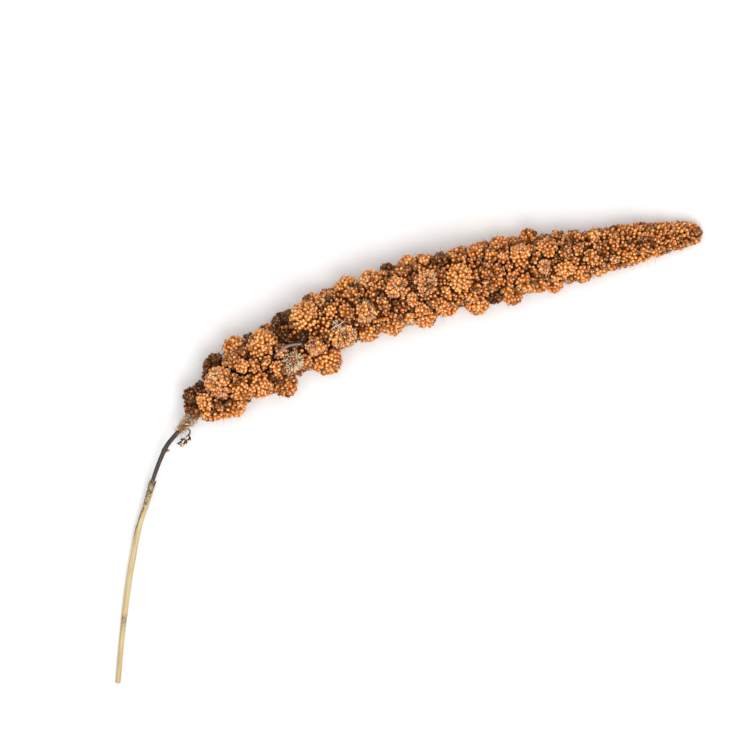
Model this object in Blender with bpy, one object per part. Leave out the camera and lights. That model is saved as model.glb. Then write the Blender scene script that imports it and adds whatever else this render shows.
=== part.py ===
"""A dried seed head of foxtail millet with its cut stem, lying on a flat surface.

Run it with: blender --background --python part.py

Units are metres, +Z is up and the surface is at z = 0. The origin lies on the surface under the
middle of the whole piece. The head grows from its base near (-0.097, 0.009) to its tip near
(0.123, 0.092), and the stem runs from the base down to its cut end near (-0.122, -0.097).

Three pieces make it up:
    grain_head   the grain clusters, here called lobes, with the rachis that they grow from
    stem         the bare stalk, from its socket in the head down to the cut end
    leaf_sheath  the straw leaf base that wraps the lower stem
"""

import math
import random
from collections import namedtuple
from itertools import combinations

import bmesh
import bpy
from mathutils import Vector

MM = 0.001

# The head's axis seen from above, from its base to its tip, in millimetres.
HEAD_AXIS = (
    (-96.8, 8.6),
    (-94.3, 11.2),
    (-87.6, 18.5),
    (-78.3, 26.2),
    (-56.1, 41.6),
    (-26.7, 57.3),
    (6.9, 68.9),
    (40.5, 76.5),
    (74.1, 83.2),
    (105.6, 89.9),
    (123.9, 92.6),
)
AXIS_STEPS = 20

# The head's outline: where it is full, where it starts to narrow, as shares of its length.
HEAD_RADIUS = 0.0148
TIP_RADIUS = 0.0045
FULL_FROM = 0.18
TAPER_FROM = 0.45
TAPER_POWER = 2.3
# How high the axis runs over the surface, as a share of the radius, and how far its base droops.
REST_HEIGHT = 0.965
BASE_DROOP = 0.0040

# The lobes seen from above, as they grew: the station along the axis and the distance to its left,
# the radius, all in millimetres, and how far out it stands as a share of the outline.
Seen = namedtuple("Seen", "station left radius share")
SEEN_LOBES = (
    Seen(10.5, 2.4, 2.8, 1.0),
    Seen(14.4, 5.5, 3.9, 1.0),
    Seen(14.2, -5.0, 2.7, 1.0),
    Seen(17.8, 0.0, 3.9, 1.0),
    Seen(20.4, -7.2, 3.4, 1.0),
    Seen(26.0, -9.6, 3.7, 1.0),
    Seen(24.7, 7.7, 3.4, 0.8),
    Seen(27.7, 2.2, 6.9, 1.0),
    Seen(30.9, 11.0, 3.6, 0.8),
    Seen(40.0, 10.0, 5.4, 1.0),
    Seen(39.4, 2.7, 3.0, 1.0),
    Seen(40.0, -6.0, 6.5, 1.0),
    Seen(50.3, 4.9, 6.5, 1.0),
    Seen(49.5, -13.0, 5.3, 1.0),
    Seen(57.7, -6.4, 5.0, 1.0),
    Seen(61.3, 9.9, 4.0, 0.9),
    Seen(60.2, 2.8, 3.8, 0.7),
    Seen(71.3, 4.9, 7.3, 1.0),
    Seen(70.6, -12.5, 6.3, 1.0),
    Seen(69.2, -5.5, 4.6, 1.0),
    Seen(81.8, -5.2, 6.9, 1.0),
    Seen(90.8, 9.0, 5.6, 1.0),
    Seen(82.2, 6.6, 3.6, 0.8),
    Seen(100.8, 8.4, 5.2, 1.0),
    Seen(94.9, -1.5, 5.2, 1.0),
    Seen(91.9, -9.4, 4.4, 1.0),
    Seen(103.6, -8.0, 6.3, 1.0),
    Seen(108.1, -2.5, 3.5, 0.85),
    Seen(110.1, 2.6, 5.7, 1.0),
    Seen(109.0, 11.5, 3.4, 1.0),
    Seen(111.2, -9.6, 3.6, 1.0),
    Seen(117.5, 10.6, 4.2, 1.0),
    Seen(118.1, -9.4, 5.9, 1.0),
    Seen(114.9, -3.3, 3.0, 1.0),
    Seen(122.7, 1.6, 5.7, 1.0),
    Seen(125.0, 10.3, 3.3, 1.0),
    Seen(130.5, 8.6, 4.0, 1.0),
    Seen(128.7, -8.0, 5.5, 1.0),
    Seen(136.4, 0.2, 6.4, 1.0),
    Seen(137.1, 8.4, 4.2, 1.0),
    Seen(141.7, -10.2, 5.4, 1.0),
    Seen(149.4, -0.4, 6.6, 1.0),
    Seen(144.9, 8.9, 3.8, 1.0),
    Seen(149.3, -10.0, 3.1, 1.0),
    Seen(156.9, -9.6, 5.0, 1.0),
    Seen(155.9, 9.4, 4.8, 1.0),
    Seen(162.9, 3.1, 5.8, 1.0),
    Seen(168.6, -6.9, 5.2, 1.0),
    Seen(175.0, 4.4, 5.2, 1.0),
    Seen(168.5, 10.0, 4.4, 1.0),
    Seen(171.6, -1.6, 3.0, 1.0),
    Seen(175.2, -9.2, 3.9, 1.0),
    Seen(179.9, -3.6, 4.4, 1.0),
    Seen(180.6, 8.4, 3.5, 1.0),
    Seen(187.0, 7.4, 3.3, 1.0),
    Seen(187.3, 2.1, 3.0, 1.0),
    Seen(191.4, -1.2, 3.9, 1.0),
    Seen(195.0, 5.4, 3.4, 1.0),
    Seen(193.8, -6.9, 3.4, 1.0),
    Seen(201.1, -3.6, 3.2, 1.0),
    Seen(203.0, 3.0, 3.1, 1.0),
)

# The other lobes follow a rule, each a golden angle round the axis from the one before it, closer
# together as they get smaller towards the tip. One is left out where a seen lobe already stands.
LOBE_RADIUS_BASE = 0.0058
LOBE_RADIUS_MIDDLE = 0.0054
LOBE_RADIUS_LAST = 0.0040
LOBES_FROM = 0.07
LOBES_END = 0.85
LOBE_SPACING = 0.86
LOBE_JITTER = 0.10
ANGLE_JITTER = 0.20
CROWDED = 0.62
GOLDEN_ANGLE = math.radians(137.508)
SEED = 7

# A lobe's shape: its length over its radius, its lean towards the tip, its root in the rachis.
LOBE_LENGTH = 1.12
LOBE_LEAN = 0.30
ROOT_OVERLAP = 0.0015

# Grains, larger than life: how far one stands out and the valleys go in, as shares of the lobe's
# radius. A large lobe has 80 of them and a small one 20.
GRAIN_TOP = 1.06
GRAIN_VALLEY = 0.94
LARGE_LOBE = 0.0058

# The rachis from its collar on, and the grain-covered core under the lobes, which swells into the
# tip. The pairs are the shares of the head's length between which each change happens.
COLLAR_RADIUS = 0.0021
RACHIS_RADIUS = 0.0030
COLLAR_SWELLS = (0.005, 0.045)
CORE_SHARE = 0.56
CORE_GROWS = (0.08, 0.26)
TIP_SWELLS = (0.72, 0.89)
TIP_ROUNDS_FROM = 0.976
GRAIN_RISE = 0.13
CORE_SIDES = 24
CORE_RINGS = 124

# Fusing leaves slivers along every seam, so the head is thinned to this many triangles.
HEAD_TRIANGLES = 11300
SHORTEST_EDGE = 0.00002

# The stem from the head to its cut end, in millimetres. Two more points lie in its socket.
StemPoint = namedtuple("StemPoint", "x y z radius")
STEM_ROUTE = (
    StemPoint(-101.6, 2.9, 8.2, 0.98),
    StemPoint(-104.2, -2.3, 7.3, 0.95),
    StemPoint(-106.4, -7.9, 6.5, 0.90),
    StemPoint(-108.3, -13.6, 5.8, 0.85),
    StemPoint(-110.7, -21.8, 4.9, 0.70),
    StemPoint(-113.7, -31.1, 4.0, 0.55),
    StemPoint(-116.2, -43.8, 2.9, 0.50),
    StemPoint(-118.7, -58.7, 1.9, 0.50),
    StemPoint(-121.2, -79.9, 1.25, 0.50),
    StemPoint(-122.8, -98.0, 1.05, 0.50),
)
STEM_STEPS = 5
SOCKET_DEPTH = 0.0060
GAP = 0.0003

# The leaf sheath: where it starts along the stem, where its outer layer ends, its wall before
# and after that, and the two sides of its slanting torn mouth in millimetres.
SHEATH_FROM = 0.0300
SHEATH_LAYER_END = 0.0890
SHEATH_WALL = 0.00050
SHEATH_INNER_WALL = 0.00032
SHEATH_STEPS = 40
MOUTH_RIGHT = (-106.0, -11.0)
MOUTH_LEFT = (-114.6, -30.6)
MOUTH_CUT_WIDTH = 0.006

# The block that takes off what would sink into the surface, so that the piece rests flat.
SURFACE_BLOCK = 0.4

GRAIN_COLOUR = (0.42, 0.16, 0.05, 1.0)
STEM_COLOUR = (0.07, 0.045, 0.04, 1.0)
STRAW_COLOUR = (0.66, 0.50, 0.26, 1.0)

# A lobe where it stands: its middle and its root, its radius and its length out from the middle.
Lobe = namedtuple("Lobe", "middle root radius length")


def clear_scene():
    for obj in list(bpy.data.objects):
        bpy.data.objects.remove(obj, do_unlink=True)


def new_collection(name):
    made = bpy.data.collections.new(name)
    bpy.context.scene.collection.children.link(made)
    return made


def new_material(name, colour, roughness):
    made = bpy.data.materials.new(name)
    made.use_nodes = True
    shader = made.node_tree.nodes["Principled BSDF"]
    shader.inputs["Base Color"].default_value = colour
    shader.inputs["Roughness"].default_value = roughness
    shader.inputs["Metallic"].default_value = 0.0
    return made


def new_object(name, bm, collection):
    """An object with bm's faces, in a collection."""
    bmesh.ops.recalc_face_normals(bm, faces=bm.faces)
    mesh = bpy.data.meshes.new(name)
    bm.to_mesh(mesh)
    bm.free()
    obj = bpy.data.objects.new(name, mesh)
    collection.objects.link(obj)
    return obj


def dress(obj, material):
    obj.data.materials.clear()
    obj.data.materials.append(material)


def shade_smooth(obj, angle):
    """Smooth but for the edges sharper than the angle, in degrees."""
    for face in obj.data.polygons:
        face.use_smooth = True
    obj.data.set_sharp_from_angle(angle=math.radians(angle))


def smoothstep(low, high, value):
    share = min(1.0, max(0.0, (value - low) / (high - low)))
    return share * share * (3.0 - 2.0 * share)


def smooth_line(points, steps):
    """The points with a smooth curve through them (Catmull-Rom), steps to each stretch."""
    ends = [points[0] * 2.0 - points[1], *points, points[-1] * 2.0 - points[-2]]
    line = []
    for a, b, c, d in zip(ends, ends[1:], ends[2:], ends[3:]):
        for step in range(steps):
            t = step / steps
            bend = (a * 2.0 - b * 5.0 + c * 4.0 - d) * t**2 + (b * 3.0 - a - c * 3.0 + d) * t**3
            line.append((b * 2.0 + (c - a) * t + bend) * 0.5)
    line.append(points[-1].copy())
    return line


class Route:
    """A line of points that gives the place and the directions at a station along it."""

    def __init__(self, points):
        self.points = points
        self.stations = [0.0]
        for here, there in zip(points, points[1:]):
            self.stations.append(self.stations[-1] + (there - here).length)
        self.length = self.stations[-1]

    def locate(self, station):
        """(number of the stretch, share of the way along it)"""
        last = len(self.points) - 2
        i = 0
        while i < last and self.stations[i + 1] < station:
            i += 1
        return i, (station - self.stations[i]) / (self.stations[i + 1] - self.stations[i])

    def at(self, station):
        i, share = self.locate(station)
        return self.points[i].lerp(self.points[i + 1], share)

    def value(self, values, station):
        """One of the values given at the points, at a station between them."""
        i, share = self.locate(station)
        return values[i] + (values[i + 1] - values[i]) * min(1.0, max(0.0, share))

    def frame(self, station, step=0.001):
        """(point, forward, left, up) at a station."""
        forward = (self.at(station + step) - self.at(station - step)).normalized()
        left = Vector((0.0, 0.0, 1.0)).cross(forward).normalized()
        return self.at(station), forward, left, forward.cross(left)


def taper(share):
    """The outline's radius without its narrow base, at a share of the length."""
    along = max(0.0, (share - TAPER_FROM) / (1.0 - TAPER_FROM))
    return HEAD_RADIUS - (HEAD_RADIUS - TIP_RADIUS) * along**TAPER_POWER


def head_radius(share):
    return taper(share) * math.sin(0.5 * math.pi * min(1.0, max(0.0, share / FULL_FROM)))


def head_axis():
    """The axis, raised over the surface so that the head rests on its lowest lobes."""
    flat = smooth_line([Vector((x * MM, y * MM, 0.0)) for x, y in HEAD_AXIS], AXIS_STEPS)
    plan = Route(flat)
    for point, station in zip(flat, plan.stations):
        share = station / plan.length
        droop = BASE_DROOP * max(0.0, 1.0 - share / FULL_FROM) ** 2
        point.z = REST_HEIGHT * taper(share) - droop
    return Route(flat)


def place_lobe(axis, station, across, over, radius, length):
    point, _, left, up = axis.frame(station)
    middle = point + left * across + up * over
    root = axis.at(max(station - LOBE_LEAN * (middle - point).length, 0.002))
    return Lobe(middle, root, radius, length)


def seen_lobes(axis):
    """The listed lobes. One far to the side stands level with the axis, the others over it."""
    lobes = []
    for seen in SEEN_LOBES:
        station, across, radius = seen.station * MM, seen.left * MM, seen.radius * MM
        length = radius * LOBE_LENGTH
        out = seen.share * head_radius(station / axis.length) - length
        over = math.sqrt(max(0.0, out**2 - across**2))
        lobes.append(place_lobe(axis, station, across, over, radius, length))
    return lobes


def lobe_radius(share):
    if share < TAPER_FROM:
        return LOBE_RADIUS_BASE + (LOBE_RADIUS_MIDDLE - LOBE_RADIUS_BASE) * share / TAPER_FROM
    along = (share - TAPER_FROM) / (LOBES_END - TAPER_FROM)
    return LOBE_RADIUS_MIDDLE + (LOBE_RADIUS_LAST - LOBE_RADIUS_MIDDLE) * along


def too_close(lobe, other):
    return (lobe.middle - other.middle).length < CROWDED * (lobe.radius + other.radius)


def ruled_lobes(axis, seen):
    """The lobes that the rule gives, without those that would stand in a seen one."""
    rng = random.Random(SEED)
    lobes = []
    station = LOBES_FROM * axis.length
    turn = 0.0
    while station < LOBES_END * axis.length:
        share = station / axis.length
        radius = lobe_radius(share) * rng.uniform(1.0 - LOBE_JITTER, 1.0 + LOBE_JITTER)
        length = radius * LOBE_LENGTH
        out = max(head_radius(share) * rng.uniform(0.97, 1.03) - length, 0.5 * radius)
        angle = turn + rng.uniform(-ANGLE_JITTER, ANGLE_JITTER)
        across, over = out * math.cos(angle), out * math.sin(angle)
        lobe = place_lobe(axis, station, across, over, radius, length)
        if not any(too_close(lobe, other) for other in seen):
            lobes.append(lobe)
        pitch = 2.0 * LOBE_SPACING * lobe_radius(share)
        station += pitch * pitch * 0.87 / (2.0 * math.pi * out)
        turn += GOLDEN_ANGLE
    return lobes


def grain_ball(steps):
    """A ball of unit radius covered in grains: each face of an icosphere rises to a point."""
    bm = bmesh.new()
    bmesh.ops.create_icosphere(bm, subdivisions=steps, radius=1.0)
    for vert in bm.verts:
        vert.co *= GRAIN_VALLEY
    grains = bmesh.ops.poke(bm, faces=bm.faces)["verts"]
    for vert in grains:
        vert.co = vert.co.normalized() * GRAIN_TOP
    return bm


def add_lobe(lobe, number, collection):
    """A ball of grains, drawn out behind into a root that sinks into the rachis."""
    out = lobe.middle - lobe.root
    back = max(out.length - ROOT_OVERLAP, lobe.radius)
    out.normalize()
    side = out.orthogonal().normalized()
    other = out.cross(side)
    bm = grain_ball(2 if lobe.radius > LARGE_LOBE else 1)
    for vert in bm.verts:
        x, y, z = vert.co
        depth = lobe.length if z > 0.0 else back
        vert.co = lobe.middle + (side * x + other * y) * lobe.radius + out * (z * depth)
    return new_object(f"lobe_{number:03d}", bm, collection)


def core_radius(share):
    """The rachis under the lobes, swollen into the whole head at the tip, where it rounds off."""
    bare = COLLAR_RADIUS + (RACHIS_RADIUS - COLLAR_RADIUS) * smoothstep(*COLLAR_SWELLS, share)
    lobed = CORE_SHARE * head_radius(share)
    inner = bare + (lobed - bare) * smoothstep(*CORE_GROWS, share)
    outer = head_radius(share) * (1.0 - GRAIN_RISE)
    radius = inner + (outer - inner) * smoothstep(*TIP_SWELLS, share)
    into_end = max(0.0, (share - TIP_ROUNDS_FROM) / (1.0 - TIP_ROUNDS_FROM))
    return radius * math.sqrt(max(0.08, 1.0 - into_end**2))


def core_point(axis, ring, side):
    """Points in a honeycomb, whose every third one is a grain's top."""
    share = ring / CORE_RINGS
    point, _, left, up = axis.frame(share * axis.length)
    radius = core_radius(share)
    if (side - ring % 2) % 3 == 0:
        radius *= 1.0 + GRAIN_RISE * smoothstep(*CORE_GROWS, share)
    angle = 2.0 * math.pi * (side + 0.5 * (ring % 2)) / CORE_SIDES
    return point + (left * math.cos(angle) + up * math.sin(angle)) * radius


def add_core(axis, collection):
    bm = bmesh.new()
    rings = [
        [bm.verts.new(core_point(axis, ring, side)) for side in range(CORE_SIDES)]
        for ring in range(CORE_RINGS + 1)
    ]
    for ring, (here, there) in enumerate(zip(rings, rings[1:])):
        for side in range(CORE_SIDES):
            after = (side + 1) % CORE_SIDES
            if ring % 2:
                bm.faces.new((here[side], here[after], there[after]))
                bm.faces.new((here[side], there[after], there[side]))
            else:
                bm.faces.new((here[side], here[after], there[side]))
                bm.faces.new((here[after], there[after], there[side]))
    bm.faces.new(rings[0])
    bm.faces.new(rings[-1])
    return new_object("grain_head", bm, collection)


def apply_modifiers(obj):
    graph = bpy.context.evaluated_depsgraph_get()
    mesh = bpy.data.meshes.new_from_object(obj.evaluated_get(graph))
    obj.modifiers.clear()
    obj.data = mesh


def fuse(obj, collection):
    """One union of obj with everything in the collection, whose objects are then removed."""
    union = obj.modifiers.new("union", "BOOLEAN")
    union.operation = "UNION"
    union.solver = "EXACT"
    union.operand_type = "COLLECTION"
    union.collection = collection
    apply_modifiers(obj)
    for member in list(collection.objects):
        bpy.data.objects.remove(member, do_unlink=True)
    bpy.data.collections.remove(collection)


def cut(obj, cutter):
    """Takes the cutter out of obj."""
    difference = obj.modifiers.new("cut", "BOOLEAN")
    difference.operation = "DIFFERENCE"
    difference.solver = "EXACT"
    difference.object = cutter
    apply_modifiers(obj)


def keep_outer_skin(obj):
    """Fills the hollows that fusing sealed: of all the closed surfaces, only the largest stays."""
    bm = bmesh.new()
    bm.from_mesh(obj.data)
    left, skins = set(bm.faces), []
    while left:
        skin, front = set(), [left.pop()]
        while front:
            face = front.pop()
            skin.add(face)
            near = {other for edge in face.edges for other in edge.link_faces} & left
            left -= near
            front.extend(near)
        skins.append(skin)
    skins.sort(key=len)
    for skin in skins[:-1]:
        bmesh.ops.delete(bm, geom=list(skin), context="FACES")
    bm.to_mesh(obj.data)
    bm.free()


def split_into_triangles(obj):
    """Triangles only. Where two faces would be cut along the same line, one gets a point halfway."""
    bm = bmesh.new()
    bm.from_mesh(obj.data)
    came_from = bm.faces.layers.int.new("came_from")
    for number, face in enumerate(bm.faces):
        face[came_from] = number
    bmesh.ops.triangulate(bm, faces=bm.faces)
    for edge in [edge for edge in bm.edges if len(edge.link_faces) > 2]:
        pair = next(
            pair
            for pair in combinations(edge.link_faces, 2)
            if pair[0][came_from] == pair[1][came_from]
        )
        halfway = bm.verts.new((edge.verts[0].co + edge.verts[1].co) / 2.0)
        for face in pair:
            for end in edge.verts:
                bm.faces.new([halfway if vert is end else vert for vert in face.verts])
        bmesh.ops.delete(bm, geom=list(pair), context="FACES_ONLY")
    bm.faces.layers.int.remove(came_from)
    close_short_edges(bm)
    bm.to_mesh(obj.data)
    bm.free()


def close_short_edges(bm):
    """Draws the shortest edges together, where that leaves the surface closed."""
    for edge in sorted(bm.edges, key=lambda edge: edge.calc_length()):
        if not edge.is_valid:
            continue
        if edge.calc_length() > SHORTEST_EDGE:
            break
        near = [{link.other_vert(end) for link in end.link_edges} for end in edge.verts]
        if len(near[0] & near[1]) == 2:
            bmesh.ops.collapse(bm, edges=[edge])


def thin_out(obj, most):
    """Fewer triangles, the slivers along the seams first."""
    thinner = obj.modifiers.new("thin out", "DECIMATE")
    thinner.ratio = min(1.0, most / len(obj.data.polygons))
    apply_modifiers(obj)


def add_tube(name, points, radii, collection):
    """A closed round tube through the points, with a radius at each."""
    curve = bpy.data.curves.new(name, "CURVE")
    curve.dimensions = "3D"
    curve.bevel_depth = 1.0
    curve.bevel_resolution = 4
    curve.use_fill_caps = True
    spline = curve.splines.new("POLY")
    spline.points.add(len(points) - 1)
    for made, point, radius in zip(spline.points, points, radii):
        made.co = (*point, 1.0)
        made.radius = radius
    guide = bpy.data.objects.new(name + "_line", curve)
    collection.objects.link(guide)
    graph = bpy.context.evaluated_depsgraph_get()
    graph.update()
    bm = bmesh.new()
    bm.from_mesh(bpy.data.meshes.new_from_object(guide.evaluated_get(graph)))
    bpy.data.objects.remove(guide, do_unlink=True)
    bmesh.ops.remove_doubles(bm, verts=bm.verts, dist=0.00001)
    return new_object(name, bm, collection)


def add_block(name, size, place, turn, collection):
    """A box that only cuts, turned round Z."""
    bm = bmesh.new()
    bmesh.ops.create_cube(bm, size=1.0)
    for vert in bm.verts:
        vert.co = Vector(v * s for v, s in zip(vert.co, size))
    made = as_cutter(new_object(name, bm, collection))
    made.location = place
    made.rotation_euler = (0.0, 0.0, turn)
    return made


def as_cutter(obj):
    obj.hide_render = True
    obj.display_type = "WIRE"
    return obj


def stem_line(axis):
    """The stem's points and radii, from the bottom of its socket in the head to its cut end."""
    route = [Vector((p.x * MM, p.y * MM, p.z * MM)) for p in STEM_ROUTE]
    points = smooth_line([axis.at(SOCKET_DEPTH), axis.at(0.0), *route], STEM_STEPS)
    given = [STEM_ROUTE[0].radius, STEM_ROUTE[0].radius, *(p.radius for p in STEM_ROUTE)]
    radii = []
    for i in range(len(points)):
        stretch = min(i // STEM_STEPS, len(given) - 2)
        t = i / STEM_STEPS - stretch
        radii.append((given[stretch] * (1.0 - t) + given[stretch + 1] * t) * MM)
    return points, radii


def build_stem(points, radii, parts):
    """The stalk, which stops short of the bottom of its socket by the gap."""
    start = points[0].lerp(points[1], GAP / (points[1] - points[0]).length)
    return add_tube("stem", [start, *points[1:]], radii, parts)


def build_socket(points, radii, cutters):
    """What the stem's upper end stands in: a plain hole, wider by the gap all round."""
    reach = 2 * STEM_STEPS + 1
    wide = [radius + GAP for radius in radii[:reach]]
    return as_cutter(add_tube("socket", points[:reach], wide, cutters))


def build_sheath(points, stem_radii, parts, cutters):
    """A sleeve round the lower stem, with a plain bore and a mouth torn on a slant."""
    route = Route(points)
    each = (route.length - SHEATH_FROM) / SHEATH_STEPS
    stations = [SHEATH_FROM + each * i for i in range(SHEATH_STEPS + 1)]
    bores = [route.value(stem_radii, s) + GAP for s in stations]
    walls = [SHEATH_WALL if s < SHEATH_LAYER_END else SHEATH_INNER_WALL for s in stations]
    radii = [bore + wall for bore, wall in zip(bores, walls)]
    sheath = add_tube("leaf_sheath", [route.at(s) for s in stations], radii, parts)
    past = [SHEATH_FROM - 0.003, *stations[1:-1], route.length + 0.003]
    cut(sheath, as_cutter(add_tube("bore", [route.at(s) for s in past], bores, cutters)))

    right = Vector((MOUTH_RIGHT[0] * MM, MOUTH_RIGHT[1] * MM, 0.0))
    left = Vector((MOUTH_LEFT[0] * MM, MOUTH_LEFT[1] * MM, 0.0))
    along = left - right
    away = Vector((along.y, -along.x, 0.0)).normalized()
    place = (right + left) / 2.0 + away * (MOUTH_CUT_WIDTH / 2.0)
    size = (along.length, MOUTH_CUT_WIDTH, 0.05)
    turn = math.atan2(along.y, along.x)
    cut(sheath, add_block("torn_mouth", size, place, turn, cutters))
    return sheath


def build_head(axis, socket, parts):
    members = new_collection("lobes")
    seen = seen_lobes(axis)
    lobes = seen + ruled_lobes(axis, seen)
    for number, lobe in enumerate(lobes):
        add_lobe(lobe, number, members)
    head = add_core(axis, parts)
    fuse(head, members)
    keep_outer_skin(head)
    split_into_triangles(head)
    thin_out(head, HEAD_TRIANGLES)
    cut(head, socket)
    print(len(lobes), "lobes,", len(seen), "of them listed")
    return head


def main():
    clear_scene()
    parts = new_collection("millet_seed_head")
    cutters = new_collection("cutters")
    cutters.hide_render = True
    grain = new_material("grain", GRAIN_COLOUR, 0.45)
    skin = new_material("stem_skin", STEM_COLOUR, 0.55)
    straw = new_material("straw", STRAW_COLOUR, 0.6)

    axis = head_axis()
    points, radii = stem_line(axis)
    head = build_head(axis, build_socket(points, radii, cutters), parts)
    stem = build_stem(points, radii, parts)
    sheath = build_sheath(points, radii, parts, cutters)

    size = SURFACE_BLOCK
    surface = add_block("surface", (size, size, size), (0.0, 0.0, -size / 2.0), 0.0, cutters)
    for piece, material in ((head, grain), (sheath, straw)):
        cut(piece, surface)
        keep_outer_skin(piece)
        split_into_triangles(piece)
        dress(piece, material)
    dress(stem, skin)
    shade_smooth(stem, 40.0)
    shade_smooth(sheath, 40.0)
    for piece in (head, stem, sheath):
        print(piece.name, "triangles", sum(len(face.vertices) - 2 for face in piece.data.polygons))


main()
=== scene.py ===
# %% [markdown]
# # A dried seed head of foxtail millet
#
# A millet head is a thick curved spike. Short branches grow out of a stalk that runs through it,
# the rachis, and each branch carries a lobe: a tight ball of grains in papery husks. Below the
# head come a bare dark stalk and then a straw-coloured leaf sheath, wrapped round the stalk.
#
# The lesson takes the plain solids of the part as a frame, places every grain on them by the same
# rule that placed the lobes, and gives each kind of surface its own material.

# %% Load the plain model
import math
import random
from collections import namedtuple

import bmesh
import bpy
import numpy as np
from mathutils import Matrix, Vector, noise
from mathutils.kdtree import KDTree


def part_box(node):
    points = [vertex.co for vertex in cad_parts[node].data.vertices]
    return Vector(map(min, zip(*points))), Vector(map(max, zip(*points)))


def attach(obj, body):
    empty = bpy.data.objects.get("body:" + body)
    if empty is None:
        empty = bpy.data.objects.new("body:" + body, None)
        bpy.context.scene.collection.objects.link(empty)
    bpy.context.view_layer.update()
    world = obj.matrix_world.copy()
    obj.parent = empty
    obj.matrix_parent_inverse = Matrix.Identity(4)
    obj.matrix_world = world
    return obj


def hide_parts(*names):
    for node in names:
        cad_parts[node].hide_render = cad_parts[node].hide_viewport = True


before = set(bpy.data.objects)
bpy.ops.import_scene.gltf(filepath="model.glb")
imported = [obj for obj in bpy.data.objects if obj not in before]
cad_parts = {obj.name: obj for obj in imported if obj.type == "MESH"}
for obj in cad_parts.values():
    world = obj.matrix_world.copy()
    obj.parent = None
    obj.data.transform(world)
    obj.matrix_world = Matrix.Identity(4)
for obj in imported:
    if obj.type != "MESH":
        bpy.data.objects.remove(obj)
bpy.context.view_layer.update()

MM = 0.001
for name in ("grain_head", "stem", "leaf_sheath"):
    low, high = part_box(name)
    print(name, "measures", [round((b - a) / MM, 1) for a, b in zip(low, high)], "mm")

# %% [markdown]
# ## The camera
#
# The head lies on a flat surface and is seen from straight above. A 200 mm lens keeps the near and
# far parts almost the same size, as a photograph from well above does. A pixel of the picture,
# which is 736 pixels wide, is 0.42 mm at the height of the head's middle.

# %% Camera
PIXEL = 0.42 * MM
LENS = 200.0
SENSOR = 36.0
VIEW_MIDDLE = Vector((-17.0 * MM, 35.3 * MM, 14.0 * MM))

view_width = 736 * PIXEL
camera_data = bpy.data.cameras.new("camera")
camera_data.lens = LENS
camera_data.sensor_width = SENSOR
camera = bpy.data.objects.new("camera", camera_data)
camera.location = VIEW_MIDDLE + Vector((0.0, 0.0, view_width * LENS / SENSOR))
bpy.context.scene.collection.objects.link(camera)
bpy.context.scene.camera = camera
print("camera at", round(camera.location.z, 3), "m over the surface")

# %% [markdown]
# ## The line that the head follows
#
# The rachis bends the way a stalk does under its own weight, so its line is a smooth curve through
# a few measured points. A Bezier curve object could hold it too, but a plain list of points can be
# asked for the place and the directions at any station, which the placing of the grains needs.

# %% The curve and its stations
HEAD_AXIS = (
    (-96.8, 8.6),
    (-94.3, 11.2),
    (-87.6, 18.5),
    (-78.3, 26.2),
    (-56.1, 41.6),
    (-26.7, 57.3),
    (6.9, 68.9),
    (40.5, 76.5),
    (74.1, 83.2),
    (105.6, 89.9),
    (123.9, 92.6),
)


def smoothstep(low, high, value):
    share = min(1.0, max(0.0, (value - low) / (high - low)))
    return share * share * (3.0 - 2.0 * share)


def smooth_line(points, steps):
    """The points with a smooth curve through them, steps to each stretch."""
    ends = [points[0] * 2.0 - points[1], *points, points[-1] * 2.0 - points[-2]]
    line = []
    for a, b, c, d in zip(ends, ends[1:], ends[2:], ends[3:]):
        for step in range(steps):
            t = step / steps
            bend = (a * 2.0 - b * 5.0 + c * 4.0 - d) * t**2 + (b * 3.0 - a - c * 3.0 + d) * t**3
            line.append((b * 2.0 + (c - a) * t + bend) * 0.5)
    line.append(points[-1].copy())
    return line


class Route:
    """A line of points that gives the place and the directions at a station along it."""

    def __init__(self, points):
        self.points = points
        self.stations = [0.0]
        for here, there in zip(points, points[1:]):
            self.stations.append(self.stations[-1] + (there - here).length)
        self.length = self.stations[-1]

    def locate(self, station):
        last = len(self.points) - 2
        i = 0
        while i < last and self.stations[i + 1] < station:
            i += 1
        return i, (station - self.stations[i]) / (self.stations[i + 1] - self.stations[i])

    def at(self, station):
        i, share = self.locate(station)
        return self.points[i].lerp(self.points[i + 1], share)

    def value(self, values, station):
        i, share = self.locate(station)
        return values[i] + (values[i + 1] - values[i]) * min(1.0, max(0.0, share))

    def frame(self, station, step=0.001):
        forward = (self.at(station + step) - self.at(station - step)).normalized()
        left = Vector((0.0, 0.0, 1.0)).cross(forward).normalized()
        return self.at(station), forward, left, forward.cross(left)


# %% [markdown]
# ## The head's outline
#
# The head is narrow at its collar, soon full, and tapers to a round tip. It lies on its lowest
# lobes, so the rachis runs almost one radius above the surface. One formula for the radius serves
# the lobes, the tip and the height alike, and so they always agree.

# %% Outline and rachis
HEAD_RADIUS = 0.0148
TIP_RADIUS = 0.0045
FULL_FROM = 0.18
TAPER_FROM = 0.45
TAPER_POWER = 2.3
REST_HEIGHT = 0.965
BASE_DROOP = 0.0040


def taper(share):
    along = max(0.0, (share - TAPER_FROM) / (1.0 - TAPER_FROM))
    return HEAD_RADIUS - (HEAD_RADIUS - TIP_RADIUS) * along**TAPER_POWER


def head_radius(share):
    return taper(share) * math.sin(0.5 * math.pi * min(1.0, max(0.0, share / FULL_FROM)))


def head_axis():
    flat = smooth_line([Vector((x * MM, y * MM, 0.0)) for x, y in HEAD_AXIS], 20)
    plan = Route(flat)
    for point, station in zip(flat, plan.stations):
        share = station / plan.length
        droop = BASE_DROOP * max(0.0, 1.0 - share / FULL_FROM) ** 2
        point.z = REST_HEIGHT * taper(share) - droop
    return Route(flat)


axis = head_axis()
print("the head is", round(axis.length / MM, 1), "mm long along its curve")

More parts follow.
